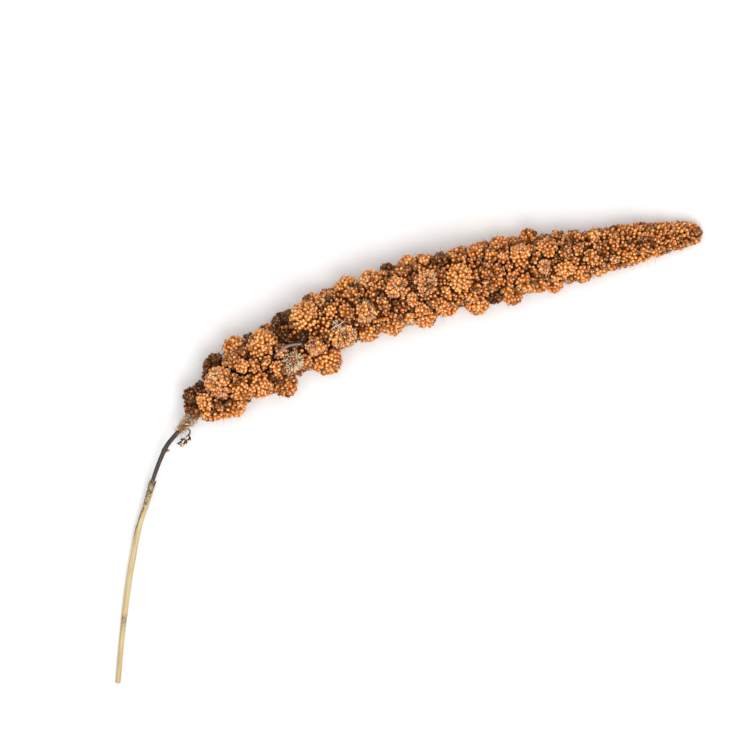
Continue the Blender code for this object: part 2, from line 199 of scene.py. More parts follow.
# %% [markdown]
# ## The lobes
#
# The lobes that show from above are listed as they grew: how far along the head each stands, how
# far to its left, how big it is and how it looks. Some are bright and full of grain. Others are
# dark, partly with dried dark husks and partly with painted shade where they lie low on the shaded
# side. Some have dropped their grain, which leaves pale empty husks.
#
# The other lobes follow a rule that many plants follow: each one stands a golden angle, about
# 137.5 degrees, round the stalk from the one before it. One that would stand in a listed lobe is
# left out. With a fixed seed the small random changes come out the same on every run.

# %% The lobes seen from above
Seen = namedtuple("Seen", "station left radius share look")
SEEN_LOBES = (
    Seen(10.5, 2.4, 2.8, 1.0, "dark"),
    Seen(14.4, 5.5, 3.9, 1.0, "dark"),
    Seen(14.2, -5.0, 2.7, 1.0, "brown"),
    Seen(17.8, 0.0, 3.9, 1.0, "orange"),
    Seen(20.4, -7.2, 3.4, 1.0, "orange"),
    Seen(26.0, -9.6, 3.7, 1.0, "orange"),
    Seen(24.7, 7.7, 3.4, 0.8, "dark"),
    Seen(27.7, 2.2, 6.9, 1.0, "faded"),
    Seen(30.9, 11.0, 3.6, 0.8, "dark"),
    Seen(40.0, 10.0, 5.4, 1.0, "orange"),
    Seen(39.4, 2.7, 3.0, 1.0, "orange"),
    Seen(40.0, -6.0, 6.5, 1.0, "orange"),
    Seen(50.3, 4.9, 6.5, 1.0, "bright"),
    Seen(49.5, -13.0, 5.3, 1.0, "brown"),
    Seen(57.7, -6.4, 5.0, 1.0, "empty"),
    Seen(61.3, 9.9, 4.0, 0.9, "dark"),
    Seen(60.2, 2.8, 3.8, 0.7, "dark"),
    Seen(71.3, 4.9, 7.3, 1.0, "bright"),
    Seen(70.6, -12.5, 6.3, 1.0, "orange"),
    Seen(69.2, -5.5, 4.6, 1.0, "mixed"),
    Seen(81.8, -5.2, 6.9, 1.0, "mixed"),
    Seen(90.8, 9.0, 5.6, 1.0, "bright"),
    Seen(82.2, 6.6, 3.6, 0.8, "dark"),
    Seen(100.8, 8.4, 5.2, 1.0, "faded"),
    Seen(94.9, -1.5, 5.2, 1.0, "mixed"),
    Seen(91.9, -9.4, 4.4, 1.0, "orange"),
    Seen(103.6, -8.0, 6.3, 1.0, "orange"),
    Seen(108.1, -2.5, 3.5, 0.85, "dark"),
    Seen(110.1, 2.6, 5.7, 1.0, "faded"),
    Seen(109.0, 11.5, 3.4, 1.0, "dark"),
    Seen(111.2, -9.6, 3.6, 1.0, "mixed"),
    Seen(117.5, 10.6, 4.2, 1.0, "orange"),
    Seen(118.1, -9.4, 5.9, 1.0, "orange"),
    Seen(114.9, -3.3, 3.0, 1.0, "mixed"),
    Seen(122.7, 1.6, 5.7, 1.0, "mixed"),
    Seen(125.0, 10.3, 3.3, 1.0, "orange"),
    Seen(130.5, 8.6, 4.0, 1.0, "dark"),
    Seen(128.7, -8.0, 5.5, 1.0, "orange"),
    Seen(136.4, 0.2, 6.4, 1.0, "bright"),
    Seen(137.1, 8.4, 4.2, 1.0, "orange"),
    Seen(141.7, -10.2, 5.4, 1.0, "bright"),
    Seen(149.4, -0.4, 6.6, 1.0, "brown"),
    Seen(144.9, 8.9, 3.8, 1.0, "orange"),
    Seen(149.3, -10.0, 3.1, 1.0, "dark"),
    Seen(156.9, -9.6, 5.0, 1.0, "brown"),
    Seen(155.9, 9.4, 4.8, 1.0, "orange"),
    Seen(162.9, 3.1, 5.8, 1.0, "bright"),
    Seen(168.6, -6.9, 5.2, 1.0, "orange"),
    Seen(175.0, 4.4, 5.2, 1.0, "orange"),
    Seen(168.5, 10.0, 4.4, 1.0, "brown"),
    Seen(171.6, -1.6, 3.0, 1.0, "mixed"),
    Seen(175.2, -9.2, 3.9, 1.0, "orange"),
    Seen(179.9, -3.6, 4.4, 1.0, "bright"),
    Seen(180.6, 8.4, 3.5, 1.0, "brown"),
    Seen(187.0, 7.4, 3.3, 1.0, "brown"),
    Seen(187.3, 2.1, 3.0, 1.0, "brown"),
    Seen(191.4, -1.2, 3.9, 1.0, "orange"),
    Seen(195.0, 5.4, 3.4, 1.0, "orange"),
    Seen(193.8, -6.9, 3.4, 1.0, "mixed"),
    Seen(201.1, -3.6, 3.2, 1.0, "orange"),
    Seen(203.0, 3.0, 3.1, 1.0, "brown"),
)

# %% Every lobe
LOBE_RADIUS_BASE = 0.0058
LOBE_RADIUS_MIDDLE = 0.0054
LOBE_RADIUS_LAST = 0.0040
LOBES_FROM = 0.07
LOBES_END = 0.85
LOBE_SPACING = 0.86
LOBE_JITTER = 0.10
ANGLE_JITTER = 0.20
CROWDED = 0.62
GOLDEN_ANGLE = math.radians(137.508)
SEED = 7
LOBE_LENGTH = 1.12
LOBE_LEAN = 0.30
ROOT_OVERLAP = 0.0015

Lobe = namedtuple("Lobe", "middle root radius length look")


def place_lobe(station, across, over, radius, look):
    point, _, left, up = axis.frame(station)
    middle = point + left * across + up * over
    root = axis.at(max(station - LOBE_LEAN * (middle - point).length, 0.002))
    return Lobe(middle, root, radius, radius * LOBE_LENGTH, look)


def seen_lobes(listed):
    lobes = []
    for seen in listed:
        station, across, radius = seen.station * MM, seen.left * MM, seen.radius * MM
        out = seen.share * head_radius(station / axis.length) - radius * LOBE_LENGTH
        over = math.sqrt(max(0.0, out**2 - across**2))
        lobes.append(place_lobe(station, across, over, radius, seen.look))
    return lobes


def lobe_radius(share):
    if share < TAPER_FROM:
        return LOBE_RADIUS_BASE + (LOBE_RADIUS_MIDDLE - LOBE_RADIUS_BASE) * share / TAPER_FROM
    along = (share - TAPER_FROM) / (LOBES_END - TAPER_FROM)
    return LOBE_RADIUS_MIDDLE + (LOBE_RADIUS_LAST - LOBE_RADIUS_MIDDLE) * along


def even_room(look):
    return 1.0


def ruled_lobes(others, seed, size, reach, crowded, look, room_round=even_room):
    """The lobes that the rule gives, without those that would stand in one of the others.

    size 1 makes full-sized lobes and reach 1 takes them out to the head's outline. room_round
    gives how much room is kept round a lobe of some look, as a share of the usual.
    """
    rng = random.Random(seed)
    lobes = []
    station = LOBES_FROM * axis.length
    turn = 0.0
    while station < LOBES_END * axis.length:
        share = station / axis.length
        radius = size * lobe_radius(share) * rng.uniform(1.0 - LOBE_JITTER, 1.0 + LOBE_JITTER)
        out = reach * head_radius(share) * rng.uniform(0.97, 1.03) - radius * LOBE_LENGTH
        out = max(out, 0.5 * radius)
        angle = turn + rng.uniform(-ANGLE_JITTER, ANGLE_JITTER)
        lobe = place_lobe(station, out * math.cos(angle), out * math.sin(angle), radius, look)
        near = False
        for other in others:
            room = crowded * room_round(other.look) * (lobe.radius + other.radius)
            near = near or (lobe.middle - other.middle).length < room
        if not near:
            lobes.append(lobe)
        pitch = 2.0 * LOBE_SPACING * size * lobe_radius(share)
        station += pitch * pitch * 0.87 / (2.0 * math.pi * out)
        turn += GOLDEN_ANGLE
    return lobes


seen = seen_lobes(SEEN_LOBES)
lobes = seen + ruled_lobes(seen, SEED, 1.0, 1.0, CROWDED, "ruled")
print(len(lobes), "lobes,", len(seen), "of them listed")

# %% [markdown]
# Young lobes sit between the grown ones and a little lower. The plain solid leaves them out, and
# here they close the gaps. A few at the head's base are listed, the rest follow the same rule with
# a smaller size and a shorter reach.

# %% Small lobes in the gaps
SEEN_SMALL_LOBES = (
    Seen(12.2, 0.4, 2.7, 1.0, "dark"),
    Seen(17.2, -6.2, 2.9, 1.0, "brown"),
    Seen(23.2, -8.5, 3.4, 1.0, "orange"),
    Seen(28.0, 9.8, 4.1, 1.0, "dark"),
    Seen(19.6, 5.9, 3.2, 0.9, "dark"),
    Seen(33.6, -4.9, 3.4, 0.85, "dark"),
    Seen(45.5, -6.5, 3.6, 0.85, "dark"),
    Seen(47.0, 9.4, 3.4, 0.85, "dark"),
    Seen(66.0, -1.0, 3.6, 0.80, "dark"),
    Seen(18.6, 3.4, 2.8, 0.75, "dark"),
    Seen(21.5, -3.6, 2.8, 0.75, "brown"),
    Seen(31.5, -7.8, 3.2, 0.80, "brown"),
    Seen(12.4, 3.8, 2.5, 1.0, "dark"),
    Seen(14.9, -2.8, 2.5, 1.0, "brown"),
    Seen(17.4, 6.0, 2.8, 1.0, "dark"),
    Seen(28.6, -8.8, 3.0, 1.0, "orange"),
)


def small_lobe_room(look):
    """Keeps the listed lobes whole, and the empty one the most."""
    return {"ruled": 1.0, "small": 1.0, "empty": 1.25}.get(look, 1.12)


SMALL_CROWDED = 0.58
SMALL_PASSES = ((21, 0.76, 0.90), (22, 0.70, 0.87), (23, 0.62, 0.83), (24, 0.56, 0.78))

lobes += seen_lobes(SEEN_SMALL_LOBES)
for seed, size, reach in SMALL_PASSES:
    lobes += ruled_lobes(lobes, seed, size, reach, SMALL_CROWDED, "small", small_lobe_room)
print(len(lobes), "lobes with the small ones")

# %% [markdown]
# ## The core under the lobes
#
# Towards the tip the lobes get so small that they merge, and the grains cover one smooth tapering
# core. This formula gives its radius from the collar to the rounded tip.

# %% Core radius
COLLAR_RADIUS = 0.0021
RACHIS_RADIUS = 0.0030
COLLAR_SWELLS = (0.005, 0.045)
CORE_SHARE = 0.56
CORE_GROWS = (0.08, 0.26)
TIP_SWELLS = (0.72, 0.89)
TIP_ROUNDS_FROM = 0.976
GRAIN_RISE = 0.13


def core_radius(share, rounds_from=TIP_ROUNDS_FROM, blunt=0.08):
    bare = COLLAR_RADIUS + (RACHIS_RADIUS - COLLAR_RADIUS) * smoothstep(*COLLAR_SWELLS, share)
    lobed = CORE_SHARE * head_radius(share)
    inner = bare + (lobed - bare) * smoothstep(*CORE_GROWS, share)
    outer = head_radius(share) * (1.0 - GRAIN_RISE)
    radius = inner + (outer - inner) * smoothstep(*TIP_SWELLS, share)
    into_end = max(0.0, (share - rounds_from) / (1.0 - rounds_from))
    return radius * math.sqrt(max(blunt, 1.0 - into_end**2))


# %% [markdown]
# Above the base the lobes press together, and grains from further down fill what is left between
# them nearly to the outline. The fine core is therefore fatter there than the plain one. Its end is
# a little blunter too, because the last grains stand side by side.

# %% How far the gaps are filled
FILLED_SHARE = 0.69
FILLS = (0.14, 0.32)
BLUNT_FROM = 0.984
BLUNTNESS = 0.25


def filled_radius(share):
    filled = FILLED_SHARE * head_radius(share) * smoothstep(*FILLS, share)
    return max(core_radius(share, BLUNT_FROM, BLUNTNESS), filled if share < TIP_SWELLS[1] else 0.0)


# %% [markdown]
# ## Where the grains stand
#
# Millet grains stand about 2 mm apart, side by side over each lobe, with their tips outwards.
# Scattering points at random would leave bare spots and clumps. A golden spiral over each lobe
# spreads them evenly, as the plant does, and the core gets the same spiral along it. A grain that
# would stand inside another lobe, or in one that stands there already, is left out. Where that
# leaves a bare patch, a second and denser spiral offers spots to fill it.

# %% Spots on the lobes
PITCH = 0.0020
GRAIN_AREA = 0.866 * PITCH**2
GRAIN_LENGTH = 0.0026
GRAIN_WIDTH = 0.00196
GRAIN_TOP = 1.05
UNEVEN = 0.0007
DRIFT = 0.11 * PITCH
LEAN = 0.21
FULL_TURN = 6.28
PASSES = ((1.0, False), (4.0, True))
rng = random.Random(11)

Spot = namedtuple("Spot", "tip outward lobe filling")


def random_vector(spread):
    return Vector([rng.gauss(0.0, spread) for _ in range(3)])


def lobe_directions(lobe):
    out = lobe.middle - lobe.root
    back = max(out.length - ROOT_OVERLAP, lobe.radius)
    out.normalize()
    side = out.orthogonal().normalized()
    return out, side, out.cross(side), back


def spots_on_lobe(number, lobe, density, filling):
    """Spots on one lobe. density 1 is as many as there are grains."""
    out, side, other, back = lobe_directions(lobe)
    count = round(density * 4.0 * math.pi * (lobe.radius * GRAIN_TOP) ** 2 / GRAIN_AREA)
    turn = rng.uniform(0.0, FULL_TURN)
    spots = []
    for i in range(count):
        z = 1.0 - (2.0 * i + 1.0) / count
        if z < -0.95:
            break
        angle = turn + GOLDEN_ANGLE * i
        flat = math.sqrt(1.0 - z * z)
        depth = lobe.length if z > 0.0 else back
        x, y = flat * math.cos(angle), flat * math.sin(angle)
        place = (side * x + other * y) * lobe.radius + out * (z * depth)
        normal = ((side * x + other * y) / lobe.radius + out * (z / depth)).normalized()
        lean = random_vector(LEAN)
        outward = (normal + out * 0.15 + lean).normalized()
        lump = noise.noise((lobe.middle + place) * 240.0)
        drift = random_vector(DRIFT)
        tip = lobe.middle + place * GRAIN_TOP + normal * (UNEVEN * lump) + drift
        spots.append(Spot(tip, outward, number, filling))
    return spots


lobe_spots = []
for density, filling in PASSES:
    for number, lobe in enumerate(lobes):
        lobe_spots += spots_on_lobe(number, lobe, density, filling)
print(len(lobe_spots), "spots on the lobes before any is left out")

# %% Spots on the core
CORE = -1
CORE_GRAINS_FROM = 0.045
CORE_LEAN = 0.22
CORE_UNEVEN = 0.0010
CORE_DRIFT = 0.00026
TIP_GRAIN = 0.0003
END_GRAIN = 0.0007


def spots_on_core(density, filling):
    spots = []
    station, turn = CORE_GRAINS_FROM * axis.length, rng.uniform(0.0, FULL_TURN)
    while station < axis.length:
        share = station / axis.length
        radius = filled_radius(share) * (1.0 + GRAIN_RISE)
        slope = (filled_radius(min(1.0, share + 0.004)) - filled_radius(share - 0.004)) / 0.008
        point, forward, left, up = axis.frame(station)
        angle = turn + rng.uniform(-0.1, 0.1)
        away = left * math.cos(angle) + up * math.sin(angle)
        normal = (away - forward * max(-3.0, slope / axis.length)).normalized()
        lump = noise.noise((point + away * radius) * 200.0)
        lean = random_vector(CORE_LEAN)
        place = point + away * radius + forward * (TIP_GRAIN * smoothstep(0.95, 1.0, share))
        tip = place + normal * (CORE_UNEVEN * lump + rng.gauss(0.0, CORE_DRIFT))
        spots.append(Spot(tip, (normal + forward * 0.25 + lean).normalized(), CORE, filling))
        station += GRAIN_AREA / (2.0 * math.pi * radius) / density
        turn += GOLDEN_ANGLE
    return spots


def spot_on_end():
    """The grain that closes the round tip."""
    point, forward, _, _ = axis.frame(axis.length)
    return Spot(point + forward * END_GRAIN, forward, CORE, False)


core_spots = [spot_on_end()]
for density, filling in PASSES:
    core_spots += spots_on_core(density, filling)
print(len(core_spots), "spots on the core")

# %% Leave out what stands inside something else
steps = 480
axis_points = np.array([axis.at(axis.length * i / steps) for i in range(steps + 1)])
core_radii = np.array([filled_radius(i / steps) for i in range(steps + 1)])
outline_radii = np.array([max(0.001, head_radius(i / steps)) for i in range(steps + 1)])


def level_in_lobe(lobe, places):
    """1 on the lobe's surface, less inside it."""
    out, _, _, back = lobe_directions(lobe)
    away = places - np.array(lobe.middle)
    along = away @ np.array(out)
    across = (away**2).sum(axis=1) - along**2
    depth = np.where(along > 0.0, lobe.length, back)
    return np.sqrt(across / lobe.radius**2 + (along / depth) ** 2)


def nearest_station(places):
    """(number of the nearest axis point, distance to it) for each place."""
    numbers, distances = [], []
    for part in np.array_split(places, 1 + len(places) // 4000):
        squares = ((part[:, None, :] - axis_points[None, :, :]) ** 2).sum(axis=2)
        numbers.append(squares.argmin(axis=1))
        distances.append(np.sqrt(squares.min(axis=1)))
    return np.concatenate(numbers), np.concatenate(distances)


spots = lobe_spots + core_spots
places = np.array([spot.tip for spot in spots])
owners = np.array([spot.lobe for spot in spots])
nearest, distance = nearest_station(places)
keep = (owners == CORE) | (distance > core_radii[nearest] * (1.0 + GRAIN_RISE) * 0.97)
for number, lobe in enumerate(lobes):
    keep &= (owners == number) | (level_in_lobe(lobe, places) > 0.99)
depth_in_head = 1.0 - distance / outline_radii[nearest]
print(int(keep.sum()), "of", len(spots), "spots are outside every other lobe")

# %% Leave out the crowded ones
CLOSEST = 0.68 * PITCH
CLOSEST_FILLING = 0.64 * PITCH
order = sorted(np.flatnonzero(keep), key=lambda i: (spots[i].filling, depth_in_head[i]))
tree = KDTree(len(order))
for rank, i in enumerate(order):
    tree.insert(spots[i].tip, rank)
tree.balance()
taken = [True] * len(order)
for rank, i in enumerate(order):
    if taken[rank]:
        for _, other, away in tree.find_range(spots[i].tip, CLOSEST):
            if other > rank and (away < CLOSEST_FILLING or not spots[order[other]].filling):
                taken[other] = False
chosen = [i for rank, i in enumerate(order) if taken[rank]]
print(len(chosen), "grains in all")

# %% [markdown]
# ## How each grain looks
#
# No two lobes have dried alike. Each look sets how bright the grains are, how much they differ and
# how many of them have dropped out of their husks. Grains deep between the lobes are darker: that
# is painted shade.

# %% Looks
Look = namedtuple("Look", "tone spread empty husk")
LOOKS = {
    "bright": Look(0.74, 0.17, 0.02, 0.56),
    "orange": Look(0.63, 0.19, 0.03, 0.50),
    "brown": Look(0.45, 0.19, 0.05, 0.40),
    # The dark look is partly dried dark husk and partly painted shade on lobes low on the shaded
    # side.
    "dark": Look(0.08, 0.11, 0.40, 0.16),
    "faded": Look(0.62, 0.20, 0.18, 0.78),
    "mixed": Look(0.55, 0.23, 0.28, 0.74),
    "empty": Look(0.60, 0.15, 0.94, 1.02),
    "ruled": Look(0.55, 0.21, 0.08, 0.48),
    "small": Look(0.47, 0.21, 0.10, 0.42),
    "tip": Look(0.52, 0.21, 0.07, 0.42),
    # The deep look gives the core's grains below the tip a darker tone: painted shade between the
    # lobes.
    "deep": Look(0.43, 0.20, 0.16, 0.40),
}
TIP_FROM = 0.74
PATCHY = 0.42
PATCHY_LISTED = 0.16
PATCHES_PER_METRE = 130.0
DEEPENS = (0.12, 0.50)
DEEP_GRAIN_PAINTED_SHADE = 0.24
DEEP_HUSK_PAINTED_SHADE = 0.25
HUSK_SPREAD = 0.16
ODD_CHANCE = 0.06
ODD_DARKER = 0.25
GRAIN_SIZES = (0.86, 1.10)
CORE_GRAIN_SIZE = 0.93
FILLING_GRAIN_SIZE = 0.88

Grain = namedtuple("Grain", "base outward spin size tone husk empty station")


def lift_off_surface(tip, outward):
    """Moves a grain up until its lowest side is on the surface."""
    middle = tip - outward * (GRAIN_LENGTH / 2.0)
    wide = (GRAIN_WIDTH * 0.58) ** 2 * (1.0 - outward.z**2)
    long = (GRAIN_LENGTH / 2.0) ** 2 * outward.z**2
    lowest = middle.z - math.sqrt(wide + long)
    return tip + Vector((0.0, 0.0, max(0.0, 0.0001 - lowest)))


def look_of(spot, share):
    if spot.lobe == CORE:
        return LOOKS["tip" if share > TIP_FROM else "deep"]
    return LOOKS[lobes[spot.lobe].look]


grains = []
for i in chosen:
    spot = spots[i]
    look = look_of(spot, nearest[i] / steps)
    # deep darkens the tones of grains and husks that lie down between the lobes: painted shade.
    deep = smoothstep(*DEEPENS, depth_in_head[i])
    patchy = PATCHY_LISTED if 0 <= spot.lobe < len(seen) else PATCHY
    patch = patchy * noise.noise(spot.tip * PATCHES_PER_METRE)
    tone = rng.gauss(look.tone, look.spread) - DEEP_GRAIN_PAINTED_SHADE * deep + patch
    if rng.random() < ODD_CHANCE:
        tone -= ODD_DARKER
    size = rng.uniform(*GRAIN_SIZES) * (CORE_GRAIN_SIZE if spot.lobe == CORE else 1.0)
    if spot.filling:
        size *= FILLING_GRAIN_SIZE
    tip = lift_off_surface(spot.tip, spot.outward)
    grains.append(
        Grain(
            tip - spot.outward * (GRAIN_LENGTH * size),
            spot.outward,
            rng.uniform(0.0, FULL_TURN),
            size,
            min(1.0, max(0.0, tone)),
            min(1.0, max(0.0, rng.gauss(look.husk, HUSK_SPREAD) - DEEP_HUSK_PAINTED_SHADE * deep)),
            rng.random() < look.empty,
            nearest[i] / steps,
        )
    )
grains.sort(key=lambda grain: grain.station)
full = [grain for grain in grains if not grain.empty]
print(len(full), "full grains and", len(grains) - len(full), "empty husks")

# %% [markdown]
# ## Small shapes to repeat
#
# A grain is an egg with a slightly flat side. It is only four rings of eight points, because there
# are thousands of it. Its husk is a pair of thin pointed scales, the glumes, that clasp its lower
# half. Where the grain has dropped out, the scales stand open like a tiny flower.
#
# Each point carries its share of the way from base to tip in the attribute `along`, for the
# materials. The map `unit` lays the shape out on one square, for later use as a texture map.

# %% Shape helpers
shapes = []


def new_piece(name, bm):
    """A new object at the origin with bm's faces, shaded smooth."""
    bmesh.ops.recalc_face_normals(bm, faces=bm.faces)
    mesh = bpy.data.meshes.new(name)
    bm.to_mesh(mesh)
    bm.free()
    for face in mesh.polygons:
        face.use_smooth = True
    made = bpy.data.objects.new(name, mesh)
    bpy.context.scene.collection.objects.link(made)
    return made


def new_shape(name, bm, places_on_map):
    """A small shape with its `unit` map. places_on_map holds (x, y) for each corner of a face."""
    layer = bm.loops.layers.uv.new("unit")
    for face, corners in places_on_map.items():
        for loop in face.loops:
            loop[layer].uv = corners[loop.vert]
    made = new_piece(name, bm)
    shapes.append(made)
    return made


# %% One grain
GRAIN_RINGS = ((0.16, 0.62), (0.46, 1.00), (0.74, 0.86), (0.92, 0.48))
GRAIN_SIDES = 8
FLATNESS = 0.84


def grain_shape():
    """A grain of length 1 and width 1, its base at the origin and its tip up."""
    bm = bmesh.new()
    along = bm.verts.layers.float.new("along")
    rings = []
    for height, wide in GRAIN_RINGS:
        ring = []
        for side in range(GRAIN_SIDES):
            angle = 2.0 * math.pi * side / GRAIN_SIDES
            x, y = 0.5 * wide * math.cos(angle), 0.5 * wide * FLATNESS * math.sin(angle)
            vert = bm.verts.new((x, y, height))
            vert[along] = height
            ring.append(vert)
        rings.append(ring)
    base, tip = bm.verts.new((0.0, 0.0, 0.0)), bm.verts.new((0.0, 0.0, 1.0))
    tip[along] = 1.0
    on_map = {}
    for side in range(GRAIN_SIDES):
        after = (side + 1) % GRAIN_SIDES
        turns = [2.0 * math.pi * (side + share) / GRAIN_SIDES for share in (0.0, 1.0, 0.5)]
        for level, (here, there) in enumerate(zip(rings, rings[1:])):
            face = bm.faces.new((here[side], here[after], there[after], there[side]))
            outer, inner = 0.46 - 0.075 * level, 0.46 - 0.075 * (level + 1)
            on_map[face] = {
                here[side]: spot_on_disc(turns[0], outer),
                here[after]: spot_on_disc(turns[1], outer),
                there[after]: spot_on_disc(turns[1], inner),
                there[side]: spot_on_disc(turns[0], inner),
            }
        last = 0.46 - 0.075 * (len(rings) - 1)
        face = bm.faces.new((rings[-1][side], rings[-1][after], tip))
        on_map[face] = {
            rings[-1][side]: spot_on_disc(turns[0], last),
            rings[-1][after]: spot_on_disc(turns[1], last),
            tip: (0.5, 0.5),
        }
        face = bm.faces.new((rings[0][after], rings[0][side], base))
        on_map[face] = {
            rings[0][side]: spot_on_disc(turns[0], 0.46),
            rings[0][after]: spot_on_disc(turns[1], 0.46),
            base: spot_on_disc(turns[2], 0.49),
        }
    return new_shape("grain_shape", bm, on_map)


def spot_on_disc(turn, radius):
    return (0.5 + radius * math.cos(turn), 0.5 + radius * math.sin(turn))


grain = grain_shape()
print("a grain has", len(grain.data.polygons), "faces")

# %% Husk scales
SCALE_ROWS = ((0.0, 0.26), (0.52, 0.54))


def add_scale(bm, layer, turn, height, radius, flare, thickness=0.06):
    """One glume: a thin pointed scale, hollow side towards the grain. Returns its map places."""
    outer, inner, edge = [], [], []
    for rise, half in SCALE_ROWS:
        bow = radius * (0.55 + 0.45 * math.sin(math.pi * min(1.0, rise + 0.25))) + flare * rise
        z = rise * height
        row = []
        for across in (-1.0, 0.0, 1.0):
            angle = turn + across * half * 2.0
            row.append(Vector((bow * math.cos(angle), bow * math.sin(angle), z)))
        edge.append((bm.verts.new(row[0]), bm.verts.new(row[2])))
        middle = row[1] * 1.08
        middle.z = z
        outer.append(bm.verts.new(middle))
        thin = row[1] * (1.08 - thickness / max(radius, 0.01))
        thin.z = z
        inner.append(bm.verts.new(thin))
        for vert in (*edge[-1], outer[-1], inner[-1]):
            vert[layer] = rise
    reach = radius * 0.55 + flare
    point = bm.verts.new((reach * math.cos(turn), reach * math.sin(turn), height))
    point[layer] = 1.0
    on_map = {}
    for column, shift in ((outer, 0.0), (inner, 0.5)):
        for side, left in ((0, 0.02), (1, 0.25)):
            right = left + 0.2
            flip = side == (0 if column is outer else 1)
            lower = [edge[0][side], column[0], column[1], edge[1][side]]
            lower_map = [(left, 0.05), (right, 0.05), (right, 0.5), (left, 0.5)]
            upper = [edge[1][side], column[1], point]
            upper_map = [(left, 0.5), (right, 0.5), (left + 0.1, 0.95)]
            for corners, corner_map in ((lower, lower_map), (upper, upper_map)):
                face = bm.faces.new(corners if flip else corners[::-1])
                on_map[face] = dict(zip(corners, [(x + shift, y) for x, y in corner_map]))
    for side in (0, 1):
        corners = [edge[0][side], inner[0], outer[0]]
        face = bm.faces.new(corners if side == 0 else corners[::-1])
        on_map[face] = dict(zip(corners, [(0.02, 0.01), (0.1, 0.01), (0.05, 0.04)]))
    return on_map


def husk_shape(name, scales):
    """scales is a list of (turn, height, radius, flare)."""
    bm = bmesh.new()
    layer = bm.verts.layers.float.new("along")
    on_map = {}
    for turn, height, radius, flare in scales:
        on_map.update(add_scale(bm, layer, turn, height, radius, flare))
    return new_shape(name, bm, on_map)


closed_husk = husk_shape("closed_husk", [(1.57, 0.92, 0.52, 0.14), (4.71, 0.74, 0.54, 0.16)])
open_husk = husk_shape(
    "open_husk", [(0.0, 0.95, 0.30, 0.38), (2.2, 0.80, 0.28, 0.42), (4.2, 0.88, 0.30, 0.34)]
)
print("a closed husk has", len(closed_husk.data.polygons), "faces")

# %% One bristle
def bristle_shape():
    """A thin three-sided spine of length 1 and width 1, a little bent."""
    bm = bmesh.new()
    layer = bm.verts.layers.float.new("along")
    rings = []
    for height, wide, bend in ((0.0, 1.0, 0.0), (0.55, 0.7, 1.2)):
        ring = []
        for side in range(3):
            angle = 2.0 * math.pi * side / 3
            x, y = bend + 0.5 * wide * math.cos(angle), 0.5 * wide * math.sin(angle)
            vert = bm.verts.new((x, y, height))
            vert[layer] = height
            ring.append(vert)
        rings.append(ring)
    tip = bm.verts.new((4.0, 0.0, 1.0))
    tip[layer] = 1.0
    on_map = {}
    for side in range(3):
        after = (side + 1) % 3
        left, right = side / 3 + 0.02, side / 3 + 0.31
        face = bm.faces.new((rings[0][side], rings[0][after], rings[1][after], rings[1][side]))
        corners = ((left, 0.05), (right, 0.05), (right, 0.5), (left, 0.5))
        on_map[face] = dict(zip(face.verts, corners))
        face = bm.faces.new((rings[1][side], rings[1][after], tip))
        on_map[face] = dict(zip(face.verts, ((left, 0.5), (right, 0.5), (left + 0.14, 0.95))))
    face = bm.faces.new(rings[0][::-1])
    on_map[face] = dict(zip(face.verts, ((0.1, 0.0), (0.2, 0.0), (0.15, 0.04))))
    return new_shape("bristle_shape", bm, on_map)


bristle = bristle_shape()

# %% [markdown]
# ## Patterns that the materials share
#
# Everything here is dried plant, so two patterns come back in most of the materials: blotches, and
# fibres that run lengthwise. Each is a node group, built once. A group puts out only a mask, and
# the material decides which colours or roughness the mask blends.

# %% Node helpers
def add_node(tree, kind, **settings):
    node = tree.nodes.new(kind)
    for key, value in settings.items():
        setattr(node, key, value)
    return node


def new_group(name, inputs):
    """A shader group with float or vector inputs and one output, Mask."""
    group = bpy.data.node_groups.new(name, "ShaderNodeTree")
    for label, value in inputs:
        kind = "NodeSocketVector" if value is None else "NodeSocketFloat"
        made = group.interface.new_socket(label, in_out="INPUT", socket_type=kind)
        if value is not None:
            made.default_value = value
    group.interface.new_socket("Mask", in_out="OUTPUT", socket_type="NodeSocketFloat")
    return group, add_node(group, "NodeGroupInput"), add_node(group, "NodeGroupOutput")


def with_contrast(group, value, contrast):
    """(value - 0.5) * contrast + 0.5, held between 0 and 1."""
    less = add_node(group, "ShaderNodeMath", operation="SUBTRACT")
    group.links.new(value, less.inputs[0])
    less.inputs[1].default_value = 0.5
    more = add_node(group, "ShaderNodeMath", operation="MULTIPLY_ADD", use_clamp=True)
    group.links.new(less.outputs[0], more.inputs[0])
    group.links.new(contrast, more.inputs[1])
    more.inputs[2].default_value = 0.5
    return more.outputs[0]


# %% Blotches
def blotch_group():
    inputs = [("Place", None), ("Per metre", 400.0), ("Contrast", 2.0)]
    group, given, result = new_group("blotches", inputs)
    pattern = add_node(group, "ShaderNodeTexNoise")
    pattern.inputs["Detail"].default_value = 4.0
    pattern.inputs["Roughness"].default_value = 0.6
    group.links.new(given.outputs["Place"], pattern.inputs["Vector"])
    group.links.new(given.outputs["Per metre"], pattern.inputs["Scale"])
    mask = with_contrast(group, pattern.outputs["Fac"], given.outputs["Contrast"])
    group.links.new(mask, result.inputs["Mask"])
    return group


blotches = blotch_group()


